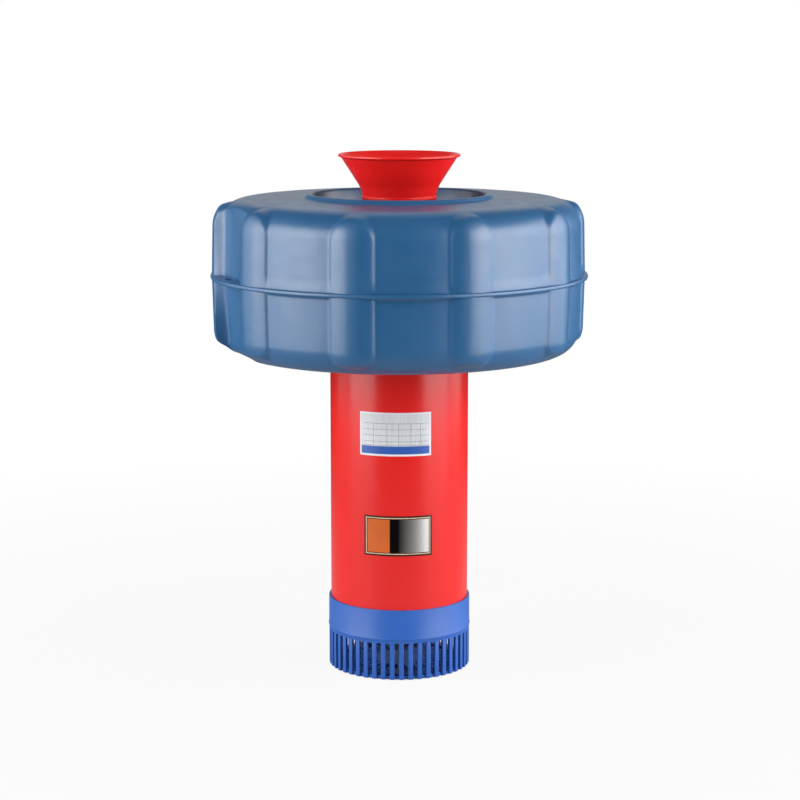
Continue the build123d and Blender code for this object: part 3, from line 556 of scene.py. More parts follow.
def rib_lift(azimuths, height):
    """How far the ribs lift the panel at each azimuth, at one height, in millimetres."""
    lift = np.zeros(len(azimuths))
    middle = (RIB_TOP + RIB_BOTTOM) / 2
    end = RIB_TOP_END if height > middle else RIB_BOTTOM_END
    corner_z = abs(height - middle) - ((RIB_TOP - RIB_BOTTOM) / 2 - end)
    for rib in ribs_all_round:
        turn = np.radians((azimuths - rib + 180) % 360 - 180)
        across = np.abs(turn) * PANEL_RADIUS
        corner_x = across - (RIB_HALF_WIDTH - end)
        beyond = np.hypot(np.maximum(corner_x, 0), max(corner_z, 0))
        towards_end = max(corner_z, 0) / np.maximum(beyond, 0.001)
        softness = RIB_SOFTNESS + (RIB_END_SOFTNESS - RIB_SOFTNESS) * towards_end
        inside = end - beyond - np.minimum(np.maximum(corner_x, corner_z), 0)
        crown = RIB_PROUD - across**2 / 2 * (1 / RIB_CROWN - 1 / PANEL_RADIUS)
        lift = np.maximum(lift, crown * soft_step(inside / softness + RIB_EDGE_SHARE))
    return lift


def notch_section(radius, height, normal_x):
    """The outline of one level through a notch, along +X, as NOTCH_COLUMNS + 1 points."""
    above = height - SEAM_HEIGHT
    draft = above * NOTCH_UPPER_DRAFT if above > 0 else -above * NOTCH_LOWER_DRAFT
    near_face = max(height - (FLOAT_TOP - NOTCH_EDGE), FLOAT_BOTTOM + NOTCH_EDGE - height, 0)
    near_face = min(near_face, NOTCH_EDGE * NOTCH_EDGE_LIMIT)
    draft += NOTCH_EDGE - math.sqrt(NOTCH_EDGE**2 - near_face**2)
    floor = NOTCH_FLOOR - draft
    half_width = NOTCH_HALF_WIDTH + draft
    angles = np.radians(np.linspace(-NOTCH_WINDOW, NOTCH_WINDOW, NOTCH_ANGLES))
    lifted = radius + normal_x * rib_lift(NOTCH_AZIMUTH + np.degrees(angles), height)
    x, y = lifted * np.cos(angles), lifted * np.sin(angles)
    inside = np.flatnonzero((np.abs(y) < half_width + NOTCH_FLARE) & (x > floor))
    if len(inside):
        first, last = inside[0], inside[-1]
        foot_before = max(-half_width, y[first])
        foot_after = min(half_width, y[last])
        x = np.concatenate([x[: first + 1], [floor, floor], x[last:]])
        y = np.concatenate([y[: first + 1], [foot_before, foot_after], y[last:]])
    length = np.concatenate([[0], np.cumsum(np.hypot(np.diff(x), np.diff(y)))])
    fine = np.linspace(0, length[-1], max(40, int(length[-1] / NOTCH_STEP)))
    x, y = np.interp(fine, length, x), np.interp(fine, length, y)
    step = fine[1] - fine[0]
    reach = int(3 * NOTCH_SOFTNESS / step)
    kernel = np.exp(-0.5 * (np.arange(-reach, reach + 1) * step / NOTCH_SOFTNESS) ** 2)
    kernel /= kernel.sum()
    x, y = smooth_ends(x, kernel, reach), smooth_ends(y, kernel, reach)
    length = np.concatenate([[0], np.cumsum(np.hypot(np.diff(x), np.diff(y)))])
    picked = np.linspace(0, length[-1], NOTCH_COLUMNS + 1)
    return np.interp(picked, length, x), np.interp(picked, length, y)


def smooth_ends(values, kernel, reach):
    """A running average that carries each end on in a straight line, so that the ends stay put."""
    start = 2 * values[0] - values[reach:0:-1]
    end = 2 * values[-1] - values[-2 : -reach - 2 : -1]
    return np.convolve(np.concatenate([start, values, end]), kernel, "valid")


print("a rib's lift at its middle:", rib_lift(np.array([FIRST_RIB]), SEAM_HEIGHT)[0], "mm")

# %% [markdown]
# The float repeats after half a turn, so only half is spun and shaped. The half starts at the edge of
# one notch's window and ends where the next window starts. A copy turned by half a turn closes the
# ring, and the doubles along the two joints are merged.

# %% Spin half the float
float_bm = bmesh.new()
row_layer = float_bm.verts.layers.int.new("row")
ring = []
for row, (x, z) in enumerate(float_outline):
    vertex = float_bm.verts.new((x, 0, z))
    vertex[row_layer] = row
    ring.append(vertex)
edges = [float_bm.edges.new((ring[index - 1], ring[index])) for index in range(len(ring))]
bmesh.ops.spin(
    float_bm,
    geom=ring + edges,
    cent=(0, 0, 0),
    axis=(0, 0, 1),
    angle=math.pi,
    steps=column_count,
)
print("float vertices in half a turn:", len(float_bm.verts))

# %% [markdown]
# Each vertex knows its row from a layer and its column from its angle. One formula gives a whole row:
# its radius, the lift of the ribs along the wall's normal, and the small root from which the seam grows.

# %% Places of one row
SEAM_ROOT = 3.0
SEAM_ROOT_HALF = 5.0
SEAM_ROOT_FADE = 1.5
PANEL_BLEND = 2.0


def row_places(row):
    """Where one row of the float goes: a point for every column, as x, y and height."""
    x, z = float_outline[row]
    window = np.linspace(-NOTCH_WINDOW, NOTCH_WINDOW, NOTCH_COLUMNS + 1)
    if x < SIDE_START:
        turns = np.radians(np.concatenate([NOTCH_AZIMUTH + window[:-1], plain_columns]))
        return np.stack([x * np.sin(turns), -x * np.cos(turns), np.full(len(turns), z)], axis=1)
    along = np.array(float_outline[(row + 1) % len(float_outline)]) - np.array(float_outline[row - 1])
    along /= np.linalg.norm(along)
    normal_x = abs(along[1])
    normal_z = math.copysign(along[0], z - SEAM_HEIGHT)
    root = SEAM_ROOT * float(soft_step(1 - abs(z - SEAM_HEIGHT) / SEAM_ROOT_HALF))
    across, aside = notch_section(x, z, normal_x)
    notch_turns = np.arctan2(aside, across)
    notch_reach = np.hypot(across, aside)
    on_panel = soft_step((notch_reach - x + PANEL_BLEND) / PANEL_BLEND)
    notch_height = z + normal_z * on_panel * rib_lift(NOTCH_AZIMUTH + np.degrees(notch_turns), z)
    from_notch = np.minimum(plain_columns - plain_columns[0], plain_columns[-1] - plain_columns)
    fade = soft_step(from_notch / SEAM_ROOT_FADE)
    lift = rib_lift(plain_columns, z)
    turns = [math.radians(NOTCH_AZIMUTH) + notch_turns[:-1], np.radians(plain_columns)]
    reach = [notch_reach[:-1], x + np.maximum(lift * normal_x, root * fade)]
    height = [notch_height[:-1], z + lift * normal_z]
    turns, reach, height = np.concatenate(turns), np.concatenate(reach), np.concatenate(height)
    return np.stack([reach * np.sin(turns), -reach * np.cos(turns), height], axis=1)


places = [row_places(row) for row in range(len(float_outline))]
print("rows placed:", len(places))

# %% Move the vertices and close the ring
for vertex in float_bm.verts:
    column = round(math.atan2(vertex.co.y, vertex.co.x) / math.pi * column_count)
    vertex.co = places[vertex[row_layer]][abs(column)]
twin = bmesh.ops.duplicate(float_bm, geom=float_bm.verts[:] + float_bm.edges[:] + float_bm.faces[:])
twin_verts = [element for element in twin["geom"] if isinstance(element, bmesh.types.BMVert)]
half_turn = mathutils.Matrix.Rotation(math.pi, 3, "Z")
bmesh.ops.rotate(float_bm, cent=(0, 0, 0), matrix=half_turn, verts=twin_verts)
bmesh.ops.remove_doubles(float_bm, verts=float_bm.verts, dist=0.01)
bmesh.ops.recalc_face_normals(float_bm, faces=float_bm.faces)
open_edges = [edge for edge in float_bm.edges if not edge.is_manifold]
print("float vertices:", len(float_bm.verts), "open edges:", len(open_edges))
finish_piece(
    float_bm,
    "float_body",
    "pump_body",
    float_skin,
    smooth_angle=60.0,
    replaces=["float_shell", "float_collar"],
)

# %% [markdown]
# ## The seam
# Where the two halves of the mould met, the plastic is pinched into a thin flange. It bridges each
# notch as a web, and the web has a hole for the rope. The ring is spun, and the holes are cut with a
# Boolean, because a hole through a spun ring has no edge loop of its own to start from.

# %% Seam flange
SEAM_THICKNESS = 4.6
SEAM_RADIUS = float_high.x / MM
ROPE_HOLE_DISTANCE = 203.0
ROPE_HOLE_RADIUS = 6.0
SEAM_INNER = NOTCH_FLOOR - 8
SEAM_SHARP_ANGLE = 40.0

half = SEAM_THICKNESS / 2
seam_bm = spun(
    rounded_profile(
        [
            (SEAM_INNER, SEAM_HEIGHT - half, 0),
            (SEAM_RADIUS, SEAM_HEIGHT - half, 1.5),
            (SEAM_RADIUS, SEAM_HEIGHT + half, 1.5),
            (SEAM_INNER, SEAM_HEIGHT + half, 0),
        ],
        0.6,
    ),
    360,
)
float_seam = finish_piece(
    seam_bm, "float_seam", "pump_body", float_skin, smooth_angle=SEAM_SHARP_ANGLE
)

# %% Rope holes
hole_bm = bmesh.new()
for azimuth in notch_azimuths:
    made = bmesh.ops.create_cone(
        hole_bm, cap_ends=True, segments=40, radius1=ROPE_HOLE_RADIUS, radius2=ROPE_HOLE_RADIUS, depth=30
    )
    turn = math.radians(azimuth)
    place = (ROPE_HOLE_DISTANCE * math.sin(turn), -ROPE_HOLE_DISTANCE * math.cos(turn), SEAM_HEIGHT)
    bmesh.ops.translate(hole_bm, vec=place, verts=made["verts"])
bmesh.ops.scale(hole_bm, vec=(MM, MM, MM), verts=hole_bm.verts)
hole_mesh = bpy.data.meshes.new("rope_holes")
hole_bm.to_mesh(hole_mesh)
hole_bm.free()
hole_cutter = bpy.data.objects.new("rope_holes", hole_mesh)
bpy.context.scene.collection.objects.link(hole_cutter)
cut = float_seam.modifiers.new("rope_holes", "BOOLEAN")
cut.operation = "DIFFERENCE"
cut.solver = "EXACT"
cut.object = hole_cutter
bpy.context.view_layer.update()
depsgraph = bpy.context.evaluated_depsgraph_get()
cut_mesh = bpy.data.meshes.new_from_object(float_seam.evaluated_get(depsgraph))
float_seam.modifiers.clear()
float_seam.data = cut_mesh
cut_mesh.set_sharp_from_angle(angle=math.radians(SEAM_SHARP_ANGLE))
bpy.data.objects.remove(hole_cutter)
print("seam faces:", len(cut_mesh.polygons))

# %% [markdown]
# ## The trumpet
# The real trumpet is a thin moulding that pushes over the outlet neck: a socket with a bead, a cone
# and a lip turned outwards. Every part of it is round about one axis, so a single half section spun
# once gives it all, with the wall's own thickness and with rounded edges that catch the light.

# %% Trumpet
SOCKET_FOOT = 522.4
SOCKET_RADIUS = 42.0
SOCKET_BORE = 37.6
LEDGE_HEIGHT = 549.4
LEDGE_BORE = 33.0
BEAD_RADIUS = 42.9
CONE_FOOT = (44.6, 560.0)
CONE_MOUTH = (66.3, 593.6)
INNER_CONE_FOOT = (37.3, 553.0)
INNER_CONE_MOUTH = (63.6, 593.8)
LIP_RADIUS = 69.9

trumpet_bm = spun(
    rounded_profile(
        [
            (SOCKET_BORE, SOCKET_FOOT, 0.3),
            (SOCKET_RADIUS, SOCKET_FOOT, 0.8),
            (SOCKET_RADIUS, 546.4, 0),
            (BEAD_RADIUS, 547.4, 0.5),
            (BEAD_RADIUS, 549.8, 0.5),
            (SOCKET_RADIUS + 0.2, 550.8, 0),
            (*CONE_FOOT, 40.0),
            (*CONE_MOUTH, 2.0),
            (LIP_RADIUS, 595.2, 0.7),
            (LIP_RADIUS, 597.2, 0.8),
            (68.6, 598.0, 0.7),
            (*INNER_CONE_MOUTH, 3.0),
            (*INNER_CONE_FOOT, 2.0),
            (LEDGE_BORE, LEDGE_HEIGHT, 0.2),
            (SOCKET_BORE, LEDGE_HEIGHT, 0),
        ],
        0.5,
    ),
    192,
)
finish_piece(
    trumpet_bm, "trumpet_moulding", "trumpet_outlet", trumpet_skin, replaces=["trumpet"]
)

# %% [markdown]
# ## The strainer
# The real strainer is one moulded cup whose wall is slit into fins. Cutting every slot out of a ring
# takes as many Booleans as there are slots. It is simpler to make what is left between them: one
# spun band, one fin with rounded edges that is copied round, and a floor of a ring, a hub and spokes.

# %% Strainer sizes
STRAINER_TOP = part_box("strainer")[1].z / MM
STRAINER_RADIUS = 82.6
STRAINER_BEAD = 83.4
BEAD_HEIGHT = 48.0
CUP_BORE = 78.9
BARREL_SEAT = 80.15
SEAT_HEIGHT = 51.9
SLOT_TOP = 42.7
FIN_COUNT = 48
FIN_WIDTH = 5.2
FIN_EDGE = 0.5
CUP_FLOOR = 4.0
FLOOR_SLOT_INNER = 30.0
FLOOR_SLOT_OUTER = 68.0
SPOKE_COUNT = 24
SPOKE_WIDTH = 3.4
SPOKE_EDGE = 0.4
BAND_EDGE = 0.4
SEAT_EDGE = 0.3
print("fins are", 2 * math.pi * STRAINER_RADIUS / FIN_COUNT, "mm apart")


# %% Helpers for the strainer
def join(into, other):
    """Adds another bmesh to this one."""
    mesh = bpy.data.meshes.new("joined")
    other.to_mesh(mesh)
    other.free()
    into.from_mesh(mesh)
    bpy.data.meshes.remove(mesh)


def bar(size, middle, edge):
    """A bar along the axes with rounded edges."""
    bm = bmesh.new()
    bmesh.ops.create_cube(bm, size=1)
    bmesh.ops.scale(bm, vec=size, verts=bm.verts)
    bmesh.ops.bevel(
        bm, geom=bm.edges[:], offset=edge, segments=3, profile=0.5, affect="EDGES", material=-1
    )
    bmesh.ops.translate(bm, vec=middle, verts=bm.verts)
    return bm


def copied_round(bm, count):
    """The bmesh copied about the pump's axis, evenly spaced."""
    first = bm.verts[:] + bm.edges[:] + bm.faces[:]
    for index in range(1, count):
        copy = bmesh.ops.duplicate(bm, geom=first)
        verts = [element for element in copy["geom"] if isinstance(element, bmesh.types.BMVert)]
        turn = mathutils.Matrix.Rotation(2 * math.pi * index / count, 3, "Z")
        bmesh.ops.rotate(bm, cent=(0, 0, 0), matrix=turn, verts=verts)
    return bm


print("helpers for the strainer are ready")

# %% Strainer band
strainer_bm = spun(
    rounded_profile(
        [
            (CUP_BORE, SLOT_TOP, BAND_EDGE),
            (STRAINER_RADIUS, SLOT_TOP, BAND_EDGE),
            (STRAINER_RADIUS, BEAD_HEIGHT - 1.5, 0),
            (STRAINER_BEAD, BEAD_HEIGHT - 0.2, BAND_EDGE),
            (STRAINER_RADIUS + 0.1, BEAD_HEIGHT + 1.2, 0),
            (STRAINER_RADIUS, STRAINER_TOP, 0.5),
            (BARREL_SEAT, STRAINER_TOP, SEAT_EDGE),
            (BARREL_SEAT, SEAT_HEIGHT, 0),
            (CUP_BORE, SEAT_HEIGHT, SEAT_EDGE),
        ],
        0.3,
    ),
    288,
)
print("band faces:", len(strainer_bm.faces))

# %% [markdown]
# The fins are turned by a quarter of their pitch. Seen from the front, those at the back then stand
# behind the slots, and the cup looks dark inside, as it does in the photograph.

# %% Fins, spokes and floor
wall_middle = (STRAINER_RADIUS + CUP_BORE) / 2
fin_size = (STRAINER_RADIUS - CUP_BORE - 0.2, FIN_WIDTH, SLOT_TOP + 0.6)
fin = bar(fin_size, (wall_middle, 0, fin_size[2] / 2), FIN_EDGE)
quarter_pitch = mathutils.Matrix.Rotation(0.5 * math.pi / FIN_COUNT, 3, "Z")
bmesh.ops.rotate(fin, cent=(0, 0, 0), matrix=quarter_pitch, verts=fin.verts)
join(strainer_bm, copied_round(fin, FIN_COUNT))
spoke_size = (FLOOR_SLOT_OUTER - FLOOR_SLOT_INNER + 3, SPOKE_WIDTH, CUP_FLOOR)
spoke_middle = ((FLOOR_SLOT_OUTER + FLOOR_SLOT_INNER) / 2, 0, CUP_FLOOR / 2)
join(strainer_bm, copied_round(bar(spoke_size, spoke_middle, SPOKE_EDGE), SPOKE_COUNT))
rim = CUP_BORE + 0.8
corners = [
    (FLOOR_SLOT_OUTER, 0, 0),
    (rim, 0, SPOKE_EDGE),
    (rim, CUP_FLOOR, SPOKE_EDGE),
    (FLOOR_SLOT_OUTER, CUP_FLOOR, 0),
]
join(strainer_bm, spun(rounded_profile(corners, 0.3), 144))
hub_bm = bmesh.new()
bmesh.ops.create_cone(
    hub_bm,
    cap_ends=True,
    segments=144,
    radius1=FLOOR_SLOT_INNER,
    radius2=FLOOR_SLOT_INNER,
    depth=CUP_FLOOR,
)
bmesh.ops.translate(hub_bm, vec=(0, 0, CUP_FLOOR / 2), verts=hub_bm.verts)
join(strainer_bm, hub_bm)
finish_piece(
    strainer_bm, "strainer_cup", "pump_body", strainer_skin, replaces=["strainer"]
)

# %% [markdown]
# ## The plates
# Two foil plates with printed fields are stuck to the barrel. Each is a thin sheet bent round it. Its
# colours are drawn by the material, from how far a point lies round the barrel and up it, because
# lines that thin would cost many faces as a mesh.

# %% Bent plate
BARREL_RADIUS = 80.0
PLATE_GAP = 0.04
PLATE_THICKNESS = 0.22


def bent_plate(name, width, low, high, azimuth, material):
    """A thin sheet stuck round the barrel, its middle at an azimuth in degrees."""
    bm = bmesh.new()
    bmesh.ops.create_grid(bm, x_segments=48, y_segments=6, size=0.5)
    for vertex in bm.verts:
        turn = math.radians(azimuth) + vertex.co.x * width / BARREL_RADIUS
        reach = BARREL_RADIUS + PLATE_GAP + PLATE_THICKNESS
        height = (low + high) / 2 + vertex.co.y * (high - low)
        vertex.co = (reach * math.sin(turn), -reach * math.cos(turn), height)
    bmesh.ops.recalc_face_normals(bm, faces=bm.faces)
    if bm.faces[0].normal.dot(bm.faces[0].calc_center_median()) < 0:
        bmesh.ops.reverse_faces(bm, faces=bm.faces)
    bmesh.ops.solidify(bm, geom=bm.faces[:], thickness=PLATE_THICKNESS)
    bmesh.ops.recalc_face_normals(bm, faces=bm.faces)
    return finish_piece(bm, name, "pump_body", material)


print("plates stand", PLATE_GAP + PLATE_THICKNESS, "mm proud of the barrel")

# %% [markdown]
# A printed field is a rectangle on the plate's own grid. A point is inside it when it lies near enough
# to its middle both ways, which takes a few Math nodes and stays sharp at any distance.

# %% Printed fields
def plate_grid(tree, place, azimuth, middle_height):
    """How far a point lies round the barrel and up it from a plate's middle, in millimetres."""
    parts = tree.nodes.new("ShaderNodeSeparateXYZ")
    tree.links.new(place.outputs["Object"], parts.inputs[0])
    front = math_node(tree, "MULTIPLY", parts.outputs["Y"], -1.0)
    turn = math_node(tree, "ARCTAN2", parts.outputs["X"], front)
    from_middle = math_node(tree, "SUBTRACT", turn, math.radians(azimuth))
    across = math_node(tree, "MULTIPLY", from_middle, BARREL_RADIUS)
    up = math_node(tree, "SUBTRACT", parts.outputs["Z"], middle_height * MM)
    return across, math_node(tree, "MULTIPLY", up, 1 / MM)


def field(tree, grid, left, right, low, high):
    """1 inside a field of the plate and 0 outside it."""
    within = []
    for value, start, end in ((grid[0], left, right), (grid[1], low, high)):
        away = math_node(tree, "ABSOLUTE", math_node(tree, "SUBTRACT", value, (start + end) / 2))
        within.append(math_node(tree, "LESS_THAN", away, (end - start) / 2))
    return math_node(tree, "MULTIPLY", within[0], within[1])


def painted(tree, under, mask, over):
    """The colour under at the mask's 0 and over at its 1; each is a socket or a colour."""
    mix_node = tree.nodes.new("ShaderNodeMix")
    mix_node.data_type = "RGBA"
    tree.links.new(mask, mix_node.inputs[0])
    for index, value in ((6, under), (7, over)):
        if isinstance(value, tuple):
            mix_node.inputs[index].default_value = (*value, 1)
        else:
            tree.links.new(value, mix_node.inputs[index])
    return mix_node.outputs[2]


print("helpers for printed fields are ready")

# %% [markdown]
# The upper plate is a rating plate: brushed white foil with a white border, a ruled grid and a blue band
# at its foot. The brushing is a noise drawn out up the barrel.

# %% Rating plate
RATING_WIDTH, RATING_LOW, RATING_HIGH, RATING_AZIMUTH = 84.0, 261.5, 311.4, -3.4
RATING_HALF, RATING_HALF_HEIGHT = 40.0, 23.0
RULE_HEIGHTS = (12.5, 5.6, -1.3, -8.2, -12.6)
RULE_PLACES = (-25.0, -9.0, 4.0, 18.0, 29.0)
RULE_REACH = 38.0
RULE_HALF = 0.2
BAND_LOW, BAND_HIGH = -22.6, -13.6
FOIL_WHITE = (0.78, 0.79, 0.82)
FOIL_GREY = (0.52, 0.54, 0.58)
RULE_GREY = (0.16, 0.17, 0.21)
PRINT_BLUE = (0.030, 0.105, 0.420)
FOIL_WAVES = 120.0
FOIL_DEPTH = 0.00006

rating_foil, tree, shader, place = new_material("rating_foil", FOIL_WHITE, 0.30, specular=0.6)
grid = plate_grid(tree, place, RATING_AZIMUTH, (RATING_LOW + RATING_HIGH) / 2)
brushed = ramp(tree, noise(tree, place, 1400.0, 2.0, (1, 1, 0.04)), FOIL_GREY, FOIL_WHITE, 0.2, 0.8)
inside_border = field(tree, grid, -RATING_HALF, RATING_HALF, -RATING_HALF_HEIGHT, RATING_HALF_HEIGHT)
ink = painted(tree, FOIL_WHITE, inside_border, brushed)
for height in RULE_HEIGHTS:
    rule = field(tree, grid, -RULE_REACH, RULE_REACH, height - RULE_HALF, height + RULE_HALF)
    ink = painted(tree, ink, rule, RULE_GREY)
for across in RULE_PLACES:
    rule = field(tree, grid, across - RULE_HALF, across + RULE_HALF, RULE_HEIGHTS[-1], RULE_HEIGHTS[0])
    ink = painted(tree, ink, rule, RULE_GREY)
ink = painted(tree, ink, field(tree, grid, -RATING_HALF, RATING_HALF, BAND_LOW, BAND_HIGH), PRINT_BLUE)
tree.links.new(ink, shader.inputs["Base Color"])
bump(tree, shader, noise(tree, place, FOIL_WAVES, 2.0), FOIL_DEPTH, 0.25)
bent_plate("rating_plate", RATING_WIDTH, RATING_LOW, RATING_HIGH, RATING_AZIMUTH, rating_foil)

# %% [markdown]
# The lower plate has a dark frame with a cream line in it, an orange field and a bare foil field. In the
# photograph the foil mirrors the dark room on one side and a lamp on the other. The room isn't there to
# mirror, so that reflection is painted into the colour: a ramp across the field runs from a painted dark
# reflection in black to a painted lamp reflection in silver.

# %% Notice plate
NOTICE_WIDTH, NOTICE_LOW, NOTICE_HIGH, NOTICE_AZIMUTH = 80.0, 145.4, 192.1, -1.0
LINE_OUTER, LINE_OUTER_HEIGHT = 38.0, 21.3
LINE_INNER, LINE_INNER_HEIGHT = 37.1, 20.4
FIELDS_REACH, FIELDS_HEIGHT = 36.0, 19.3
ORANGE_END = -9.6
SILVER_START = -8.8
# width of the painted reflection ramp across the bare foil, in millimetres
PAINTED_REFLECTION_WIDTH = 50.0
FRAME_BROWN = (0.045, 0.012, 0.008)
FRAME_CREAM = (0.80, 0.62, 0.42)
FIELD_ORANGE = (0.62, 0.13, 0.025)
FOIL_SILVER = (0.95, 0.92, 0.90)
# painted dark reflection: the black end of the ramp stands in for the dark room mirrored in the foil
PAINTED_DARK_REFLECTION = (0.012, 0.010, 0.010)

notice_foil, tree, shader, place = new_material("notice_foil", FRAME_BROWN, 0.30, specular=0.3)
grid = plate_grid(tree, place, NOTICE_AZIMUTH, (NOTICE_LOW + NOTICE_HIGH) / 2)
line = field(tree, grid, -LINE_OUTER, LINE_OUTER, -LINE_OUTER_HEIGHT, LINE_OUTER_HEIGHT)
within_line = field(tree, grid, -LINE_INNER, LINE_INNER, -LINE_INNER_HEIGHT, LINE_INNER_HEIGHT)
ink = painted(tree, FRAME_BROWN, line, FRAME_CREAM)
ink = painted(tree, ink, within_line, FRAME_BROWN)
scuffs = noise(tree, place, 60.0, 2.0)
orange = ramp(tree, scuffs, tinted(FIELD_ORANGE, 0.93), tinted(FIELD_ORANGE, 1.05))
orange_field = field(tree, grid, -FIELDS_REACH, ORANGE_END, -FIELDS_HEIGHT, FIELDS_HEIGHT)
ink = painted(tree, ink, orange_field, orange)
silver_field = field(tree, grid, SILVER_START, FIELDS_REACH, -FIELDS_HEIGHT, FIELDS_HEIGHT)
# painted reflection: the bare foil runs from black to silver across the field, in place of the dark room and
# the lamp it would mirror
painted_reflection = ramp(tree, math_node(tree, "DIVIDE", grid[0], PAINTED_REFLECTION_WIDTH), PAINTED_DARK_REFLECTION, FOIL_SILVER, -0.10, 0.62)
ink = painted(tree, ink, silver_field, painted_reflection)
tree.links.new(ink, shader.inputs["Base Color"])
tree.links.new(silver_field, shader.inputs["Metallic"])
bump(tree, shader, noise(tree, place, FOIL_WAVES, 2.0), FOIL_DEPTH, 0.25)
bent_plate("notice_plate", NOTICE_WIDTH, NOTICE_LOW, NOTICE_HIGH, NOTICE_AZIMUTH, notice_foil)

# %% [markdown]
# ## Floor, background and light
# The photograph is a studio picture: large soft boxes stand left and right of the camera, the side
# behind the camera is dark, and the ground is white. The white comes from the floor, a backdrop and the
# world as the camera sees them, not from more light, so the colours keep their depth. Three small
# helpers make the flat sheets and the shaders that these share.

# %% Helpers for the studio
def studio_sheet(name, bm, material):
    """A flat bmesh in metres as an object of the studio."""
    mesh = bpy.data.meshes.new(name)
    bm.to_mesh(mesh)
    bm.free()
    mesh.materials.append(material)
    sheet = bpy.data.objects.new(name, mesh)
    bpy.context.scene.collection.objects.link(sheet)
    return sheet


def white_light(tree, kind, strength):
    """A white Emission or Background shader."""
    shader = tree.nodes.new(kind)
    shader.inputs["Color"].default_value = (1, 1, 1, 1)
    shader.inputs["Strength"].default_value = strength
    return shader.outputs[0]


def mixed_surface(tree, share, first, second, output):
    """Sends the first shader at share 0 and the second at share 1 to the output's surface."""
    mix = tree.nodes.new("ShaderNodeMixShader")
    tree.links.new(share, mix.inputs["Fac"])
    tree.links.new(first, mix.inputs[1])
    tree.links.new(second, mix.inputs[2])
    tree.links.new(mix.outputs[0], tree.nodes[output].inputs["Surface"])


print("helpers for the studio are ready")

# %% [markdown]
# The floor keeps the pump's shadow, but the photograph's ground is almost pure white. So near the pump
# the camera sees a small share of the real, shadowed floor and a large share of white, and farther out
# white alone. Under the cup the floor stays real, so that its slots look dark.

# %% Floor
FLOOR_RADIUS = 40.0
FLOOR_DROP = -0.0005
SHADOW_RADIUS = 1.4
SHADOW_SHARE = 0.08
UNDER_PUMP_RADIUS = 0.081
UNDER_PUMP = UNDER_PUMP_RADIUS / SHADOW_RADIUS
UNDER_PUMP_BLUR = 0.004
FLOOR_NEAR = 0.50
FLOOR_FAR = 0.10

floor_material, tree, plain, place = new_material("pale_floor", (0.80, 0.80, 0.80), 0.9, specular=0.0)
far = tree.nodes.new("ShaderNodeVectorMath")
far.operation = "LENGTH"
tree.links.new(place.outputs["Object"], far.inputs[0])
away = math_node(tree, "DIVIDE", far.outputs["Value"], SHADOW_RADIUS)
tree.links.new(ramp(tree, away, FLOOR_NEAR, FLOOR_FAR, 0.3, 1.0), plain.inputs["Base Color"])
glow_far = ramp(tree, away, 1 - SHADOW_SHARE, 1.0, 0.3, 0.9)
glow_near = ramp(tree, away, 0.0, 1.0, UNDER_PUMP - UNDER_PUMP_BLUR, UNDER_PUMP)
path = tree.nodes.new("ShaderNodeLightPath")
share = math_node(
    tree, "MULTIPLY", path.outputs["Is Camera Ray"], math_node(tree, "MULTIPLY", glow_far, glow_near)
)
glow = white_light(tree, "ShaderNodeEmission", 1.0)
mixed_surface(tree, share, plain.outputs[0], glow, "Material Output")

floor_bm = bmesh.new()
bmesh.ops.create_circle(floor_bm, cap_ends=True, segments=64, radius=FLOOR_RADIUS)
floor = studio_sheet("floor", floor_bm, floor_material)
floor.location.z = FLOOR_DROP
print("floor radius:", FLOOR_RADIUS)

# %% [markdown]
# The world is a dim grey for the light it gives and white where the camera looks straight at it.

# %% World
WORLD_LEVEL = 0.14

world = bpy.data.worlds.new("studio")
bpy.context.scene.world = world
world.use_nodes = True
tree = world.node_tree
tree.nodes.remove(tree.nodes["Background"])
path = tree.nodes.new("ShaderNodeLightPath")
seen = math_node(tree, "MAXIMUM", path.outputs["Is Camera Ray"], path.outputs["Is Transmission Ray"])
ambient = white_light(tree, "ShaderNodeBackground", WORLD_LEVEL)
white = white_light(tree, "ShaderNodeBackground", 1.0)
mixed_surface(tree, seen, ambient, white, "World Output")
print("world level:", WORLD_LEVEL)

# %% [markdown]
# Two large boxes make the broad lights on the ribs and on the pipe. Two weaker ones stand a little
# behind the pump and light its edges; the right one is stronger, as in the photograph.

# %% Soft boxes
BOX_DISTANCE = 2.2
BOX_AIM = 0.35
MAIN_HEIGHT, MAIN_WIDTH, MAIN_TALL = 0.66, 2.0, 2.2
SIDE_HEIGHT, SIDE_WIDTH, SIDE_TALL = 0.75, 1.2, 2.0


def soft_box(name, azimuth, height, width, tall, power):
    """A large area light that faces the middle of the pump; azimuth 0 is the camera's side."""
    data = bpy.data.lights.new(name, "AREA")
    data.shape = "RECTANGLE"
    data.size = width
    data.size_y = tall
    data.energy = power
    lamp = bpy.data.objects.new(name, data)
    turn = math.radians(azimuth)
    lamp.location = (BOX_DISTANCE * math.sin(turn), -BOX_DISTANCE * math.cos(turn), height)
    tilt = math.atan2(height - BOX_AIM, BOX_DISTANCE)
    lamp.rotation_euler = (math.radians(90) - tilt, 0, turn)
    bpy.context.scene.collection.objects.link(lamp)


soft_box("left_box", -64, MAIN_HEIGHT, MAIN_WIDTH, MAIN_TALL, power=71)
soft_box("right_box", 64, MAIN_HEIGHT, MAIN_WIDTH, MAIN_TALL, power=76)
soft_box("left_side", -106, SIDE_HEIGHT, SIDE_WIDTH, SIDE_TALL, power=12)
soft_box("right_side", 106, SIDE_HEIGHT, SIDE_WIDTH, SIDE_TALL, power=26)

# %% [markdown]
# The flat top of the float mirrors what stands behind it. A white backdrop gives it that pale sheen. It
# is as dim as the world for the light it throws, and it is narrow, so that the float's sides stay blue.

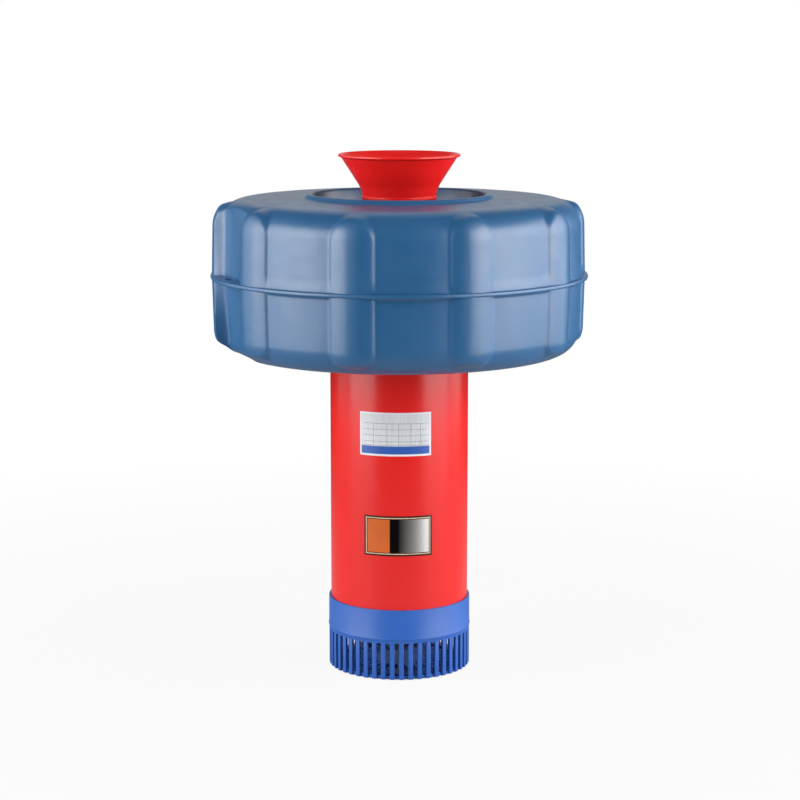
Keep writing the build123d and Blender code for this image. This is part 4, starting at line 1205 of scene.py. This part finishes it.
# %% Backdrop
BACKDROP_SIZE = 6.0
BACKDROP_NARROWING = 0.18
BACKDROP_DISTANCE = 3.4
BACKDROP_LIFT = 0.8
BACKDROP_GLOSS = 0.75

backdrop_material = bpy.data.materials.new("white_backdrop")
backdrop_material.use_nodes = True
tree = backdrop_material.node_tree
tree.nodes.remove(tree.nodes["Principled BSDF"])
path = tree.nodes.new("ShaderNodeLightPath")
gloss_share = math_node(tree, "MULTIPLY", path.outputs["Is Glossy Ray"], BACKDROP_GLOSS)
seen = math_node(tree, "MAXIMUM", path.outputs["Is Camera Ray"], gloss_share)
dim = white_light(tree, "ShaderNodeEmission", WORLD_LEVEL)
bright = white_light(tree, "ShaderNodeEmission", 1.0)
mixed_surface(tree, seen, dim, bright, "Material Output")

backdrop_bm = bmesh.new()
bmesh.ops.create_grid(backdrop_bm, x_segments=1, y_segments=1, size=BACKDROP_SIZE)
backdrop = studio_sheet("backdrop", backdrop_bm, backdrop_material)
backdrop.location = (0, BACKDROP_DISTANCE, BACKDROP_SIZE * BACKDROP_LIFT)
backdrop.rotation_euler = (math.radians(90), 0, 0)
backdrop.scale.x = BACKDROP_NARROWING
print("backdrop at", tuple(backdrop.location))

# %% [markdown]
# The front of the float and of the pipe is the darkest part in the photograph, because it faces the dark
# side of the studio. A dark card behind the camera, which the camera can't see, stands for that side.

# %% Dark card
CARD_SIZE = 2.4
CARD_NARROWING = 0.9
CARD_PLACE = (0, -4.2, 1.2)

card_material = bpy.data.materials.new("dark_card")
card_material.use_nodes = True
card_shader = card_material.node_tree.nodes["Principled BSDF"]
card_shader.inputs["Base Color"].default_value = (0.02, 0.02, 0.02, 1)
card_shader.inputs["Roughness"].default_value = 0.9

card_bm = bmesh.new()
bmesh.ops.create_grid(card_bm, x_segments=1, y_segments=1, size=CARD_SIZE)
card = studio_sheet("dark_card", card_bm, card_material)
card.location = CARD_PLACE
card.rotation_euler = (math.radians(90), 0, 0)
card.scale.x = CARD_NARROWING
card.visible_camera = False
bpy.context.scene.view_settings.view_transform = "Standard"
print("card at", CARD_PLACE)
